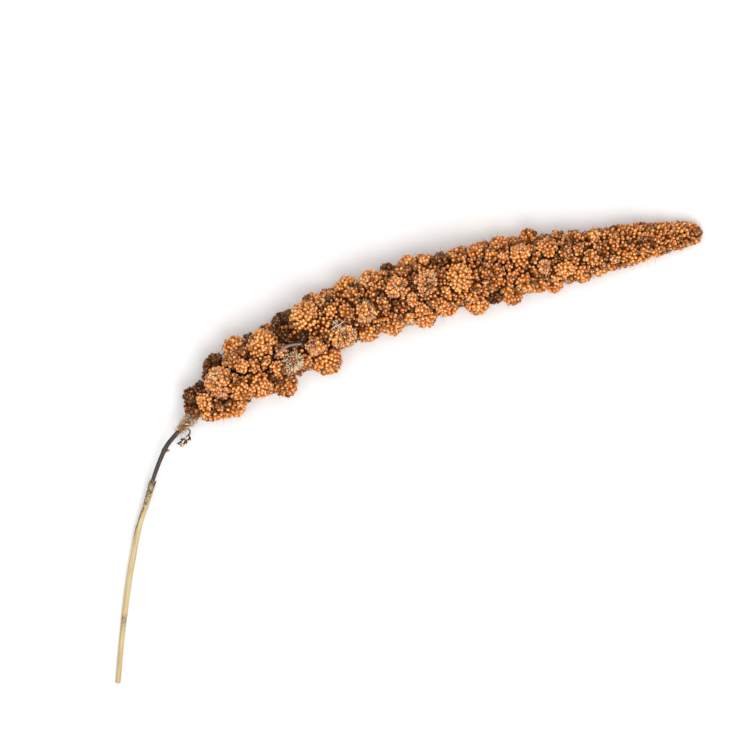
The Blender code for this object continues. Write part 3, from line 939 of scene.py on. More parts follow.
# %% Fibres
def fibre_group():
    """Fibres along the Z of Place: the pattern is drawn out that way."""
    inputs = [("Place", None), ("Per metre", 4000.0), ("Drawn out", 0.03), ("Contrast", 2.5)]
    group, given, result = new_group("fibres", inputs)
    stretch = add_node(group, "ShaderNodeCombineXYZ")
    stretch.inputs[0].default_value = 1.0
    stretch.inputs[1].default_value = 1.0
    group.links.new(given.outputs["Drawn out"], stretch.inputs[2])
    place = add_node(group, "ShaderNodeVectorMath", operation="MULTIPLY")
    group.links.new(given.outputs["Place"], place.inputs[0])
    group.links.new(stretch.outputs[0], place.inputs[1])
    pattern = add_node(group, "ShaderNodeTexNoise")
    pattern.inputs["Detail"].default_value = 3.0
    group.links.new(place.outputs[0], pattern.inputs["Vector"])
    group.links.new(given.outputs["Per metre"], pattern.inputs["Scale"])
    mask = with_contrast(group, pattern.outputs["Fac"], given.outputs["Contrast"])
    group.links.new(mask, result.inputs["Mask"])
    return group


fibres = fibre_group()
print("shared patterns:", blotches.name, "and", fibres.name)


# %% Material helpers
class Finish:
    """A material and short ways to wire it."""

    def __init__(self, name, roughness):
        self.material = bpy.data.materials.new(name)
        self.material.use_nodes = True
        self.tree = self.material.node_tree
        self.shader = self.tree.nodes["Principled BSDF"]
        self.shader.inputs["Roughness"].default_value = roughness

    def attribute(self, name, output="Fac"):
        return add_node(self.tree, "ShaderNodeAttribute", attribute_name=name).outputs[output]

    def object_place(self):
        return add_node(self.tree, "ShaderNodeTexCoord").outputs["Object"]

    def pattern(self, group, place, **values):
        node = add_node(self.tree, "ShaderNodeGroup", node_tree=group)
        self.tree.links.new(place, node.inputs["Place"])
        for label, value in values.items():
            node.inputs[label.replace("_", " ")].default_value = value
        return node.outputs["Mask"]

    def ramp(self, value, stops):
        """Colours by value. stops holds (position, (red, green, blue))."""
        node = add_node(self.tree, "ShaderNodeValToRGB")
        elements = node.color_ramp.elements
        while len(elements) < len(stops):
            elements.new(0.5)
        for element, (position, colour) in zip(elements, stops):
            element.position = position
            element.color = (*colour, 1.0)
        self.tree.links.new(value, node.inputs["Fac"])
        return node.outputs["Color"]

    def feed(self, value, socket):
        """Links another socket, or sets a number or (red, green, blue)."""
        if isinstance(value, bpy.types.NodeSocket):
            self.tree.links.new(value, socket)
        elif isinstance(value, tuple):
            socket.default_value = (*value, 1.0)
        else:
            socket.default_value = value

    def mix(self, share, first, second):
        """Two colours. Each is a socket or (red, green, blue)."""
        node = add_node(self.tree, "ShaderNodeMix", data_type="RGBA")
        self.feed(share, node.inputs[0])
        self.feed(first, node.inputs[6])
        self.feed(second, node.inputs[7])
        return node.outputs[2]

    def between(self, value, low, high, out_low=0.0, out_high=1.0):
        """value from low to high becomes out_low to out_high, smoothly."""
        node = add_node(self.tree, "ShaderNodeMapRange", interpolation_type="SMOOTHSTEP")
        self.tree.links.new(value, node.inputs["Value"])
        node.inputs["From Min"].default_value = low
        node.inputs["From Max"].default_value = high
        node.inputs["To Min"].default_value = out_low
        node.inputs["To Max"].default_value = out_high
        return node.outputs["Result"]

    def sums(self, operation, first, second):
        node = add_node(self.tree, "ShaderNodeMath", operation=operation)
        self.feed(first, node.inputs[0])
        self.feed(second, node.inputs[1])
        return node.outputs[0]

    def colour(self, socket):
        self.tree.links.new(socket, self.shader.inputs["Base Color"])

    def roughness(self, socket):
        self.tree.links.new(socket, self.shader.inputs["Roughness"])

    def bump(self, height, depth, strength=1.0):
        node = add_node(self.tree, "ShaderNodeBump")
        node.inputs["Distance"].default_value = depth
        node.inputs["Strength"].default_value = strength
        self.tree.links.new(height, node.inputs["Height"])
        self.tree.links.new(node.outputs["Normal"], self.shader.inputs["Normal"])


# %% [markdown]
# ## The grain's finish
#
# A millet grain keeps a hard shiny hull, orange where it ripened in the sun and red-brown where it
# was shaded. Painted shade darkens the hull on its flanks and at its foot, and a painted highlight
# makes its crown pale, so the colour depends on the grain's own tone and on the way along it. A
# thin coat adds a small highlight from the lamps.

# %% Grain material
def grain_finish():
    made = Finish("grain_hull", 0.38)
    place = made.object_place()
    spots_mask = made.pattern(blotches, place, Per_metre=1400.0, Contrast=2.2)
    tone = made.sums("ADD", made.attribute("tone"), made.between(spots_mask, 0.0, 1.0, -0.12, 0.12))
    hull = made.ramp(
        tone,
        (
            (0.0, (0.050, 0.018, 0.005)),
            (0.25, (0.270, 0.058, 0.004)),
            (0.50, (0.650, 0.155, 0.007)),
            (0.74, (0.840, 0.255, 0.016)),
            (1.0, (0.900, 0.420, 0.070)),
        ),
    )
    along = made.attribute("along")
    # The pale crown is a painted highlight, stronger on the brighter grains.
    painted_highlight_strength = made.between(tone, 0.0, 0.7, 0.1, 0.75)
    painted_highlight_share = made.sums("MULTIPLY", made.between(along, 0.80, 1.0), painted_highlight_strength)
    highlighted_hull = made.mix(painted_highlight_share, hull, (1.0, 0.72, 0.42))
    # The dark foot is painted shade on the grain's flanks and base, so only the crown shows bright.
    shaded_flank = made.ramp(tone, ((0.0, (0.040, 0.014, 0.003)), (0.6, (0.640, 0.130, 0.004))))
    darker_at_foot = made.mix(made.between(along, 0.34, 0.90), shaded_flank, highlighted_hull)
    tipped = made.mix(made.between(along, 0.965, 1.0, 0.0, 0.5), darker_at_foot, (0.16, 0.05, 0.01))
    made.colour(tipped)
    made.roughness(made.between(spots_mask, 0.0, 1.0, 0.30, 0.55))
    wrinkles = made.pattern(blotches, place, Per_metre=5200.0, Contrast=1.5)
    made.bump(wrinkles, 0.00004, 0.6)
    made.shader.inputs["Specular IOR Level"].default_value = 0.28
    made.shader.inputs["Coat Weight"].default_value = 0.12
    made.shader.inputs["Coat Roughness"].default_value = 0.25
    return made.material


grain_hull = grain_finish()

# %% [markdown]
# ## The husk's finish
#
# Husks are papery and have hardly any shine. Fresh ones are pale cream and weathered ones tan or
# dark brown. All are darker at the foot, and finely blotched.

# %% Husk material
def husk_finish():
    made = Finish("husk_paper", 0.72)
    place = made.object_place()
    spots_mask = made.pattern(blotches, place, Per_metre=2200.0, Contrast=2.0)
    tone = made.sums("ADD", made.attribute("husk"), made.between(spots_mask, 0.0, 1.0, -0.15, 0.15))
    paper = made.ramp(
        tone,
        (
            (0.0, (0.055, 0.022, 0.008)),
            (0.30, (0.300, 0.100, 0.020)),
            (0.60, (0.600, 0.290, 0.085)),
            (1.0, (0.880, 0.710, 0.500)),
        ),
    )
    made.shader.inputs["Specular IOR Level"].default_value = 0.12
    along = made.attribute("along")
    darker_at_foot = made.mix(made.between(along, 0.0, 0.50, 0.45, 0.0), paper, (0.170, 0.055, 0.012))
    made.colour(darker_at_foot)
    made.bump(spots_mask, 0.00005, 0.6)
    return made.material


husk_paper = husk_finish()

# %% [markdown]
# ## The dark inside and the bristles
#
# What shows between the grains is the shaded side of husks and stalklets, a deep red-brown. In the
# gaps between lobes, at the head's base and under the dark lobes, painted shade makes it nearly
# black, so the bed's colour depends on how deep in the head it lies, which its points carry in the
# attribute `deep`.

# %% Materials of the inside
def bed_finish():
    made = Finish("lobe_bed", 1.0)
    made.shader.inputs["Specular IOR Level"].default_value = 0.05
    mask = made.pattern(blotches, made.object_place(), Per_metre=900.0, Contrast=2.2)
    bed_near_outline = made.mix(mask, (0.200, 0.034, 0.001), (0.460, 0.110, 0.005))
    # Nearly black painted shade, mixed in by the attribute deep.
    painted_shade_bed = made.mix(mask, (0.030, 0.010, 0.003), (0.140, 0.040, 0.006))
    made.colour(made.mix(made.attribute("deep"), bed_near_outline, painted_shade_bed))
    made.bump(mask, 0.0003, 0.7)
    return made.material


def bristle_finish():
    made = Finish("bristle", 0.55)
    stops = ((0.0, (0.09, 0.045, 0.03)), (1.0, (0.55, 0.40, 0.26)))
    made.colour(made.ramp(made.attribute("husk"), stops))
    return made.material


lobe_bed = bed_finish()
bristle_brown = bristle_finish()

# %% [markdown]
# ## The stalk and the straw
#
# The bare stalk has dried to a dark purple-brown skin over fine ridges. The leaf sheath is pale
# glossy straw with long veins. At its torn mouth it has weathered to mottled brown. Both follow
# the bent stalk, so their patterns read the attribute `unbent`: where each point would be if the
# stalk stood straight.

# %% Stalk and straw materials
def stalk_finish(name, dark, light, roughness):
    made = Finish(name, roughness)
    place = made.attribute("unbent", "Vector")
    streaks = made.pattern(fibres, place, Per_metre=5200.0, Drawn_out=0.03, Contrast=2.4)
    patches = made.pattern(blotches, place, Per_metre=420.0, Contrast=2.6)
    share = made.sums("MULTIPLY", streaks, made.between(patches, 0.0, 1.0, 0.45, 1.15))
    made.colour(made.mix(share, dark, light))
    made.roughness(made.between(patches, 0.0, 1.0, roughness - 0.1, roughness + 0.15))
    made.bump(streaks, 0.00010, 0.8)
    return made.material


def straw_finish():
    made = Finish("straw_sheath", 0.45)
    place = made.attribute("unbent", "Vector")
    veins = made.pattern(fibres, place, Per_metre=5600.0, Drawn_out=0.012, Contrast=2.6)
    patches = made.pattern(blotches, place, Per_metre=240.0, Contrast=2.0)
    worn = made.attribute("worn")
    straw = made.mix(veins, (0.440, 0.308, 0.138), (0.765, 0.600, 0.328))
    warm = made.mix(made.between(patches, 0.35, 0.9, 0.0, 0.45), straw, (0.450, 0.310, 0.120))
    inner_share = made.sums("MULTIPLY", made.attribute("inner"), 0.25)
    olive = made.mix(inner_share, warm, (0.420, 0.320, 0.120))
    specks = made.pattern(blotches, place, Per_metre=1100.0, Contrast=3.4)
    dirty = made.sums("MULTIPLY", worn, made.between(specks, 0.25, 0.55, 0.15, 1.0))
    made.colour(made.mix(dirty, olive, (0.080, 0.048, 0.032)))
    made.roughness(made.between(dirty, 0.0, 1.0, 0.40, 0.80))
    made.bump(veins, 0.00008, 0.7)
    return made.material


stalk_skin = stalk_finish("stalk_skin", (0.021, 0.012, 0.012), (0.094, 0.048, 0.043), 0.50)
twig_skin = stalk_finish("twig_skin", (0.170, 0.115, 0.100), (0.460, 0.350, 0.300), 0.65)
pale_twig_skin = stalk_finish("pale_twig_skin", (0.380, 0.330, 0.290), (0.800, 0.760, 0.700), 0.70)
straw_sheath = straw_finish()
print(len(bpy.data.materials), "materials")

# %% [markdown]
# ## Standing shapes on points
#
# The same Geometry Nodes tree stands grains, husks and bristles on points. Each point is a vertex
# with its own direction, spin and size. The tree copies the small shape to every point, turns its
# tip outwards, and ends by making the copies real, because an exported model can't hold copies.
# It also moves each copy's `unit` map to a square of its own, so that a texture fits them all.

# %% The tree
def standing_tree():
    tree = bpy.data.node_groups.new("stand_on_points", "GeometryNodeTree")
    face = tree.interface
    face.new_socket("Points", in_out="INPUT", socket_type="NodeSocketGeometry")
    face.new_socket("Shape", in_out="INPUT", socket_type="NodeSocketObject")
    face.new_socket("Width", in_out="INPUT", socket_type="NodeSocketFloat")
    face.new_socket("Length", in_out="INPUT", socket_type="NodeSocketFloat")
    face.new_socket("Squares per side", in_out="INPUT", socket_type="NodeSocketFloat")
    face.new_socket("Finish", in_out="INPUT", socket_type="NodeSocketMaterial")
    face.new_socket("Standing", in_out="OUTPUT", socket_type="NodeSocketGeometry")
    given = add_node(tree, "NodeGroupInput")
    result = add_node(tree, "NodeGroupOutput")

    def named(name, kind):
        node = add_node(tree, "GeometryNodeInputNamedAttribute", data_type=kind)
        node.inputs["Name"].default_value = name
        return node.outputs["Attribute"]

    def link(start, end):
        tree.links.new(start, end)

    aim = add_node(tree, "FunctionNodeAlignRotationToVector", axis="Z")
    link(named("outward", "FLOAT_VECTOR"), aim.inputs["Vector"])
    turn = add_node(tree, "FunctionNodeAxisAngleToRotation")
    turn.inputs["Axis"].default_value = (0.0, 0.0, 1.0)
    link(named("spin", "FLOAT"), turn.inputs["Angle"])
    aimed = add_node(tree, "FunctionNodeRotateRotation", rotation_space="LOCAL")
    link(aim.outputs[0], aimed.inputs[0])
    link(turn.outputs[0], aimed.inputs[1])

    across = add_node(tree, "ShaderNodeMath", operation="MULTIPLY")
    link(named("size", "FLOAT"), across.inputs[0])
    link(given.outputs["Width"], across.inputs[1])
    tall = add_node(tree, "ShaderNodeMath", operation="MULTIPLY")
    link(named("size", "FLOAT"), tall.inputs[0])
    link(given.outputs["Length"], tall.inputs[1])
    scale = add_node(tree, "ShaderNodeCombineXYZ")
    link(across.outputs[0], scale.inputs[0])
    link(across.outputs[0], scale.inputs[1])
    link(tall.outputs[0], scale.inputs[2])

    shape = add_node(tree, "GeometryNodeObjectInfo")
    link(given.outputs["Shape"], shape.inputs["Object"])
    copies = add_node(tree, "GeometryNodeInstanceOnPoints")
    link(given.outputs["Points"], copies.inputs["Points"])
    link(shape.outputs["Geometry"], copies.inputs["Instance"])
    link(aimed.outputs[0], copies.inputs["Rotation"])
    link(scale.outputs[0], copies.inputs["Scale"])
    real = add_node(tree, "GeometryNodeRealizeInstances")
    link(copies.outputs["Instances"], real.inputs["Geometry"])

    corner = add_node(tree, "ShaderNodeVectorMath", operation="ADD")
    link(named("unit", "FLOAT_VECTOR"), corner.inputs[0])
    link(named("square", "FLOAT_VECTOR"), corner.inputs[1])
    per_side = add_node(tree, "ShaderNodeMath", operation="DIVIDE")
    per_side.inputs[0].default_value = 1.0
    link(given.outputs["Squares per side"], per_side.inputs[1])
    fitted = add_node(tree, "ShaderNodeVectorMath", operation="SCALE")
    link(corner.outputs[0], fitted.inputs[0])
    link(per_side.outputs[0], fitted.inputs["Scale"])
    mapped = add_node(tree, "GeometryNodeStoreNamedAttribute", data_type="FLOAT2", domain="CORNER")
    link(real.outputs["Geometry"], mapped.inputs["Geometry"])
    mapped.inputs["Name"].default_value = "OFBake"
    link(fitted.outputs[0], mapped.inputs["Value"])

    finished = add_node(tree, "GeometryNodeSetMaterial")
    link(mapped.outputs["Geometry"], finished.inputs["Geometry"])
    link(given.outputs["Finish"], finished.inputs["Material"])
    link(finished.outputs["Geometry"], result.inputs[0])
    return tree


standing = standing_tree()
print("the tree has", len(standing.nodes), "nodes")

# %% Use the tree
Standing = namedtuple("Standing", "base outward spin size tone husk")
all_pieces = []


def point_object(standings):
    """A mesh of loose points with one set of attributes each."""
    mesh = bpy.data.meshes.new("points")
    mesh.from_pydata([item.base for item in standings], [], [])
    per_side = math.ceil(math.sqrt(len(standings)))
    squares = [(i % per_side, i // per_side, 0.0) for i in range(len(standings))]
    for name, values in (("outward", [item.outward for item in standings]), ("square", squares)):
        layer = mesh.attributes.new(name, "FLOAT_VECTOR", "POINT")
        layer.data.foreach_set("vector", np.array(values, dtype=np.float32).ravel())
    for name in ("spin", "size", "tone", "husk"):
        layer = mesh.attributes.new(name, "FLOAT", "POINT")
        values = [getattr(item, name) for item in standings]
        layer.data.foreach_set("value", np.array(values, np.float32))
    made = bpy.data.objects.new("points", mesh)
    bpy.context.scene.collection.objects.link(made)
    return made, per_side


def rest_on_surface(mesh):
    """Presses flat whatever would sink into the surface that the head lies on."""
    places = np.empty(len(mesh.vertices) * 3, np.float32)
    mesh.vertices.foreach_get("co", places)
    places[2::3] = np.maximum(places[2::3], 0.00002)
    mesh.vertices.foreach_set("co", places)


def stand_on_points(name, shape, standings, finish, width, length):
    points, per_side = point_object(standings)
    modifier = points.modifiers.new("standing", "NODES")
    modifier.node_group = standing
    sockets = {item.name: item.identifier for item in standing.interface.items_tree}
    modifier[sockets["Shape"]] = shape
    modifier[sockets["Width"]] = width
    modifier[sockets["Length"]] = length
    modifier[sockets["Squares per side"]] = float(per_side)
    modifier[sockets["Finish"]] = finish
    graph = bpy.context.evaluated_depsgraph_get()
    mesh = bpy.data.meshes.new_from_object(points.evaluated_get(graph))
    mesh.name = name
    bpy.data.objects.remove(points, do_unlink=True)
    for extra in ("outward", "spin", "size", "square", "unit"):
        if extra in mesh.attributes:
            mesh.attributes.remove(mesh.attributes[extra])
    rest_on_surface(mesh)
    made = bpy.data.objects.new(name, mesh)
    bpy.context.scene.collection.objects.link(made)
    all_pieces.append((made, "grain_head", "grain"))
    print(name, "has", len(standings), "copies,", len(mesh.polygons), "faces")
    return made


# %% [markdown]
# ## The grains and their husks
#
# Thousands of grains in one mesh would be slow to handle, so the grains of each quarter of the head
# are a piece, and so are the husks of each half.

# %% Stand the grains
QUARTERS = 4
HALVES = 2


def stand_grains(name, shape, items, finish):
    here = [Standing(*(getattr(item, field) for field in Standing._fields)) for item in items]
    stand_on_points(name, shape, here, finish, GRAIN_WIDTH, GRAIN_LENGTH)


def part_of(items, number, count):
    return items[len(items) * number // count : len(items) * (number + 1) // count]


for quarter in range(QUARTERS):
    stand_grains(f"grains_{quarter + 1}", grain, part_of(full, quarter, QUARTERS), grain_hull)
for half in range(HALVES):
    stand_grains(f"husks_{half + 1}", closed_husk, part_of(full, half, HALVES), husk_paper)
stand_grains("empty_husks", open_husk, [item for item in grains if item.empty], husk_paper)

# %% [markdown]
# ## Bristles
#
# Foxtail millet has its name from its bristles. Each is a fine spine from the foot of a grain,
# a millimetre or two longer than the grain. Most have broken off a dry head.

# %% Stand the bristles
BRISTLE_LENGTH = 0.0046
BRISTLE_WIDTH = 0.00011
BRISTLE_CHANCE = 0.30
head_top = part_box("grain_head")[1][2]

bristles = []
for item in grains:
    if rng.random() < BRISTLE_CHANCE:
        aim = (item.outward + random_vector(0.30)).normalized()
        size = rng.uniform(0.7, 1.1)
        base = item.base + item.outward * 0.0006
        end = base + aim * BRISTLE_LENGTH * size
        if 0.0004 < end.z < head_top + 0.0002:
            spin = rng.uniform(0.0, FULL_TURN)
            bristles.append(Standing(base, aim, spin, size, 0.5, rng.uniform(0.0, 1.0)))
stand_on_points("bristles", bristle, bristles, bristle_brown, BRISTLE_WIDTH, BRISTLE_LENGTH)

# %% [markdown]
# ## Lobe beds and the rachis
#
# Behind the grains lies the dark bed that they grow from. Without it one would look between the
# grains and out at the other side. Each bed is a ball a little smaller than its lobe, drawn out to
# a root in the rachis, and the rachis is a tube through them all.

# %% Tubes
def add_ring(bm, layer, route, station, sides, radius, ridge):
    """Points round the route at a station. They note where they would be if it were straight."""
    point, _, left, up = route.frame(station)
    ring = []
    for side in range(sides):
        angle = 2.0 * math.pi * side / sides
        away = radius * (1.0 + ridge * math.sin(5.0 * angle + 1.0 + 40.0 * station))
        vert = bm.verts.new(point + (left * math.cos(angle) + up * math.sin(angle)) * away)
        vert[layer] = (away * math.cos(angle), away * math.sin(angle), station)
        ring.append(vert)
    return ring


def bridge(bm, here, there):
    for side in range(len(here)):
        after = (side + 1) % len(here)
        bm.faces.new((here[side], here[after], there[after], there[side]))


def add_tube(bm, layer, route, radii, rings, sides, ridge=0.0, start=0.0, end=None):
    """A closed tube along the route, with lengthwise ridges."""
    end = route.length if end is None else end
    made = []
    for i in range(rings + 1):
        station = start + (end - start) * i / rings
        made.append(add_ring(bm, layer, route, station, sides, radii(station), ridge))
    for here, there in zip(made, made[1:]):
        bridge(bm, here, there)
    bm.faces.new(made[0][::-1])
    bm.faces.new(made[-1])


def add_piece(name, bm, finish, node="grain_head", slot="grain"):
    """A piece with its finish, and the plain node and slot that it stands for. The slot is not
    used.
    """
    made = new_piece(name, bm)
    made.data.materials.append(finish)
    all_pieces.append((made, node, slot))
    return made


# %% Beds and rachis
BED_BELOW = 0.0017
COLLAR_LENGTH = 0.0105
DEEP_BED_FROM = 0.26
DEEP_BED_WITHIN = 0.20
DEEP_BASE = 0.06


def store_depth(mesh, least=0.0):
    """Stores how deep in the head each point lies, from least near the outline to 1."""
    flat = np.empty(len(mesh.vertices) * 3)
    mesh.vertices.foreach_get("co", flat)
    numbers, distances = nearest_station(flat.reshape(-1, 3))
    below = 1.0 - distances / outline_radii[numbers]
    deep = np.clip((below - DEEP_BED_FROM) / DEEP_BED_WITHIN, least, 1.0)
    # Near the head's base the bed gets the full painted shade.
    deep[numbers < DEEP_BASE * steps] = 1.0
    mesh.attributes.new("deep", "FLOAT", "POINT").data.foreach_set("value", deep.astype(np.float32))


def build_beds():
    bm = bmesh.new()
    for lobe in lobes:
        out, side, other, back = lobe_directions(lobe)
        ball = bmesh.ops.create_icosphere(bm, subdivisions=2, radius=1.0)["verts"]
        less = max(0.4, 1.0 - BED_BELOW / lobe.radius)
        for vert in ball:
            x, y, z = vert.co
            depth = lobe.length * less if z > 0.0 else back
            vert.co = lobe.middle + (side * x + other * y) * lobe.radius * less + out * (z * depth)
    made = add_piece("lobe_beds", bm, lobe_bed)
    # Beds of the dark lobes get the full painted shade.
    dark_lobe_painted_shade = [1.0 if lobe.look == "dark" else 0.0 for lobe in lobes]
    store_depth(made.data, np.repeat(dark_lobe_painted_shade, len(ball)))
    rest_on_surface(made.data)
    return made


def build_rachis():
    bm = bmesh.new()
    layer = bm.verts.layers.float_vector.new("unbent")

    def radius(station):
        share = station / axis.length
        if station < COLLAR_LENGTH:
            return 0.0011 + 0.0009 * station / COLLAR_LENGTH
        return max(0.0011, filled_radius(share) * 0.98 - BED_BELOW * smoothstep(0.04, 0.12, share))

    add_tube(bm, layer, axis, radius, 120, 20, end=axis.length - 0.0012)
    made = add_piece("rachis", bm, lobe_bed)
    store_depth(made.data)
    rest_on_surface(made.data)
    return made


beds = build_beds()
rachis = build_rachis()
print("beds have", len(beds.data.polygons), "faces, the rachis", len(rachis.data.polygons))

# %% [markdown]
# ## Broken branches and the collar
#
# Here and there a bare branch shows where its grains have fallen. At the bottom of the head small
# empty scales and hairs make a pale collar, with a broken twig of dark husks beside it.

# %% Heights by pixel
ORIGIN_COLUMN = 408.5
ORIGIN_ROW = 452.0
NEAR = 0.0012

tips = KDTree(len(grains))
for number, item in enumerate(grains):
    tip = item.base + item.outward * GRAIN_LENGTH * item.size
    tips.insert((tip.x, tip.y, 0.0), number)
tips.balance()


def height_at(x, y):
    """How high the grains stand near a place seen from above."""
    near = tips.find_range((x, y, 0.0), NEAR)
    if not near:
        near = [tips.find((x, y, 0.0))]
    return max((grains[n].base + grains[n].outward * GRAIN_LENGTH).z for _, n, _ in near)


def at_pixel(column, row, raised=0.0, z=None):
    """The place at a pixel of the picture, on the grains or at a height of its own."""
    x, y = (column - ORIGIN_COLUMN) * PIXEL, (ORIGIN_ROW - row) * PIXEL
    return Vector((x, y, height_at(x, y) + raised if z is None else z))


# %% Branches
BRANCHES = (
    ((275.8, 356.5, -1.5), (284.4, 348.5, 0.3), (293.0, 345.0, 0.6), (303.0, 344.0, -0.9), 0.66),
)
PALE_BRANCHES = (
    ((331.0, 330.0, -1.0), (335.0, 327.0, 0.7), (339.5, 325.0, 0.8), (345.0, 321.0, -0.6), 0.32),
    ((333.0, 321.5, -0.8), (336.5, 324.5, 0.9), (340.5, 327.5, 0.7), (344.0, 331.0, -0.8), 0.28),
    ((337.5, 320.0, -0.6), (338.0, 323.0, 0.6), (338.5, 327.0, 0.5), (338.0, 331.0, -0.6), 0.22),
)


def build_branches(name, listed, finish):
    bm = bmesh.new()
    layer = bm.verts.layers.float_vector.new("unbent")
    for *stops, radius in listed:
        line = [at_pixel(column, row, raised * MM) for column, row, raised in stops]
        route = Route(smooth_line(line, 6))
        radii = lambda station: radius * MM * (1.0 - 0.25 * station / route.length)
        add_tube(bm, layer, route, radii, 18, 8, 0.06)
    add_piece(name, bm, finish)
    print(name, "has", len(listed), "sticks")


build_branches("bare_branch", BRANCHES, twig_skin)
build_branches("pale_branches", PALE_BRANCHES, pale_twig_skin)

# %% Collar
COLLAR_HUSKS = 150
HAIRS_PER_HUSK = 2
collar_husks, collar_hairs = [], []
for i in range(COLLAR_HUSKS):
    share = (i / COLLAR_HUSKS) ** 0.65
    station = COLLAR_LENGTH * share - 0.0012
    point, forward, left, up = axis.frame(max(0.0005, station))
    point = point + forward * min(0.0, station)
    angle = GOLDEN_ANGLE * i
    away = left * math.cos(angle) + up * math.sin(angle)
    radius = 0.0005 + 0.0016 * share
    lean = random_vector(0.25)
    outward = (away * 0.8 + forward * rng.uniform(-0.1, 1.0) + lean).normalized()
    size = rng.uniform(0.50, 0.90)
    tone = rng.uniform(0.60, 1.1)
    spin = rng.uniform(0.0, FULL_TURN)
    collar_husks.append(Standing(point + away * radius, outward, spin, size, 0.5, tone))
    for _ in range(HAIRS_PER_HUSK):
        aim = (away + random_vector(0.45)).normalized()
        spin, size = rng.uniform(0.0, FULL_TURN), rng.uniform(0.45, 0.85)
        tone = rng.uniform(0.5, 1.0)
        collar_hairs.append(Standing(point + away * radius * 0.8, aim, spin, size, 0.5, tone))
stand_on_points("collar_husks", open_husk, collar_husks, husk_paper, 0.0015, 0.0020)
stand_on_points("collar_hairs", bristle, collar_hairs, bristle_brown, BRISTLE_WIDTH, 0.0048)

# %% Broken twig
TWIG_RADIUS = 0.00032
TWIGS = (
    (
        (186.0, 428.0, 9.0),
        (189.5, 431.0, 8.4),
        (188.0, 435.0, 7.8),
        (183.5, 438.5, 7.1),
        (179.0, 442.5, 6.5),
    ),
    ((188.0, 435.0, 7.8), (189.0, 437.5, 7.3), (187.0, 440.0, 7.0)),
    ((183.5, 438.5, 7.1), (184.5, 441.5, 6.8), (182.0, 444.5, 6.5)),
)
SCAR = (166.5, 449.5, 7.4)


def build_twig():
    bm = bmesh.new()
    layer = bm.verts.layers.float_vector.new("unbent")
    ends = []
    for stops in TWIGS:
        line = [at_pixel(column, row, z=z * MM) for column, row, z in stops]
        route = Route(smooth_line(line, 6))
        radii = lambda station: TWIG_RADIUS * (1.0 - 0.4 * station / route.length)
        add_tube(bm, layer, route, radii, 20, 7, 0.08)
        for share in (0.35, 0.55, 0.75, 0.9, 1.0):
            point, forward, _, _ = route.frame(route.length * share)
            lean = random_vector(0.5)
            spin, size = rng.uniform(0.0, FULL_TURN), rng.uniform(0.7, 1.0)
            tone = 1.0 if rng.random() < 0.45 else 0.0
            ends.append(Standing(point, (forward + lean).normalized(), spin, size, 0.2, tone))
    scar = at_pixel(*SCAR[:2], z=SCAR[2] * MM)
    for spin, aim in ((0.5, (0.7, -0.6, 0.2)), (2.0, (0.3, -0.9, 0.1))):
        ends.append(Standing(scar, Vector(aim).normalized(), spin, 0.7, 0.2, 0.55))
    add_piece("broken_twig", bm, stalk_skin)
    stand_on_points("twig_husks", open_husk, ends, husk_paper, 0.0014, 0.0021)


build_twig()
for shape in shapes:
    bpy.data.objects.remove(shape, do_unlink=True)

# %% [markdown]
# ## The stalk
#
# The stalk stands in the head's collar, bends with its own weight, and thins out inside the sheath.
# It is a tube along its route. The ridges and the small swellings are moves of its points.

# %% Stalk
StemPoint = namedtuple("StemPoint", "x y z radius")
STEM_ROUTE = (
    StemPoint(-101.6, 2.9, 8.2, 0.98),
    StemPoint(-104.2, -2.3, 7.3, 0.95),
    StemPoint(-106.4, -7.9, 6.5, 0.90),
    StemPoint(-108.3, -13.6, 5.8, 0.85),
    StemPoint(-110.7, -21.8, 4.9, 0.70),
    StemPoint(-113.7, -31.1, 4.0, 0.55),
    StemPoint(-116.2, -43.8, 2.9, 0.50),
    StemPoint(-118.7, -58.7, 1.9, 0.50),
    StemPoint(-121.2, -79.9, 1.25, 0.50),
    StemPoint(-122.8, -98.0, 1.05, 0.50),
)
STEM_STEPS = 5
SOCKET_DEPTH = 0.0060
GAP = 0.0003


def stem_line():
    route = [Vector((p.x * MM, p.y * MM, p.z * MM)) for p in STEM_ROUTE]
    points = smooth_line([axis.at(SOCKET_DEPTH), axis.at(0.0), *route], STEM_STEPS)
    given = [STEM_ROUTE[0].radius, STEM_ROUTE[0].radius, *(p.radius for p in STEM_ROUTE)]
    radii = []
    for i in range(len(points)):
        stretch = min(i // STEM_STEPS, len(given) - 2)
        t = i / STEM_STEPS - stretch
        radii.append((given[stretch] * (1.0 - t) + given[stretch + 1] * t) * MM)
    return Route(points), radii


stem_route, stem_radii = stem_line()


def build_stalk():
    bm = bmesh.new()
    layer = bm.verts.layers.float_vector.new("unbent")

    def radius(station):
        swell = 0.05 * noise.noise(Vector((station * 180.0, 3.0, 0.0)))
        scar = 0.16 * math.exp(-(((station - 0.0165) / 0.0007) ** 2))
        return stem_route.value(stem_radii, station) * (1.0 + swell + scar)

    add_tube(bm, layer, stem_route, radius, 230, 18, 0.035, start=GAP)
    add_piece("stalk", bm, stalk_skin, "stem", "stem_skin")


build_stalk()
print("the stalk is", round(stem_route.length / MM, 1), "mm long")

# %% [markdown]
# ## The leaf sheath
#
# A sheath is the foot of a leaf, rolled round the stalk. Its mouth is torn on a long slant, which
# bares a thin mottled layer, and an outer layer of it ends part of the way down. A Boolean cut
# would leave a clean edge, so each point of the rim gets a place of its own along the stalk
# instead, with small random tears.

# %% Sheath
SHEATH_FROM = 0.0300
LAYER_END = 0.0890
SHEATH_WALL = 0.00050
INNER_WALL = 0.00032
MOUTH_RIGHT = Vector((-106.0 * MM, -11.0 * MM))
MOUTH_LEFT = Vector((-114.6 * MM, -30.6 * MM))
SHEATH_SIDES = 28


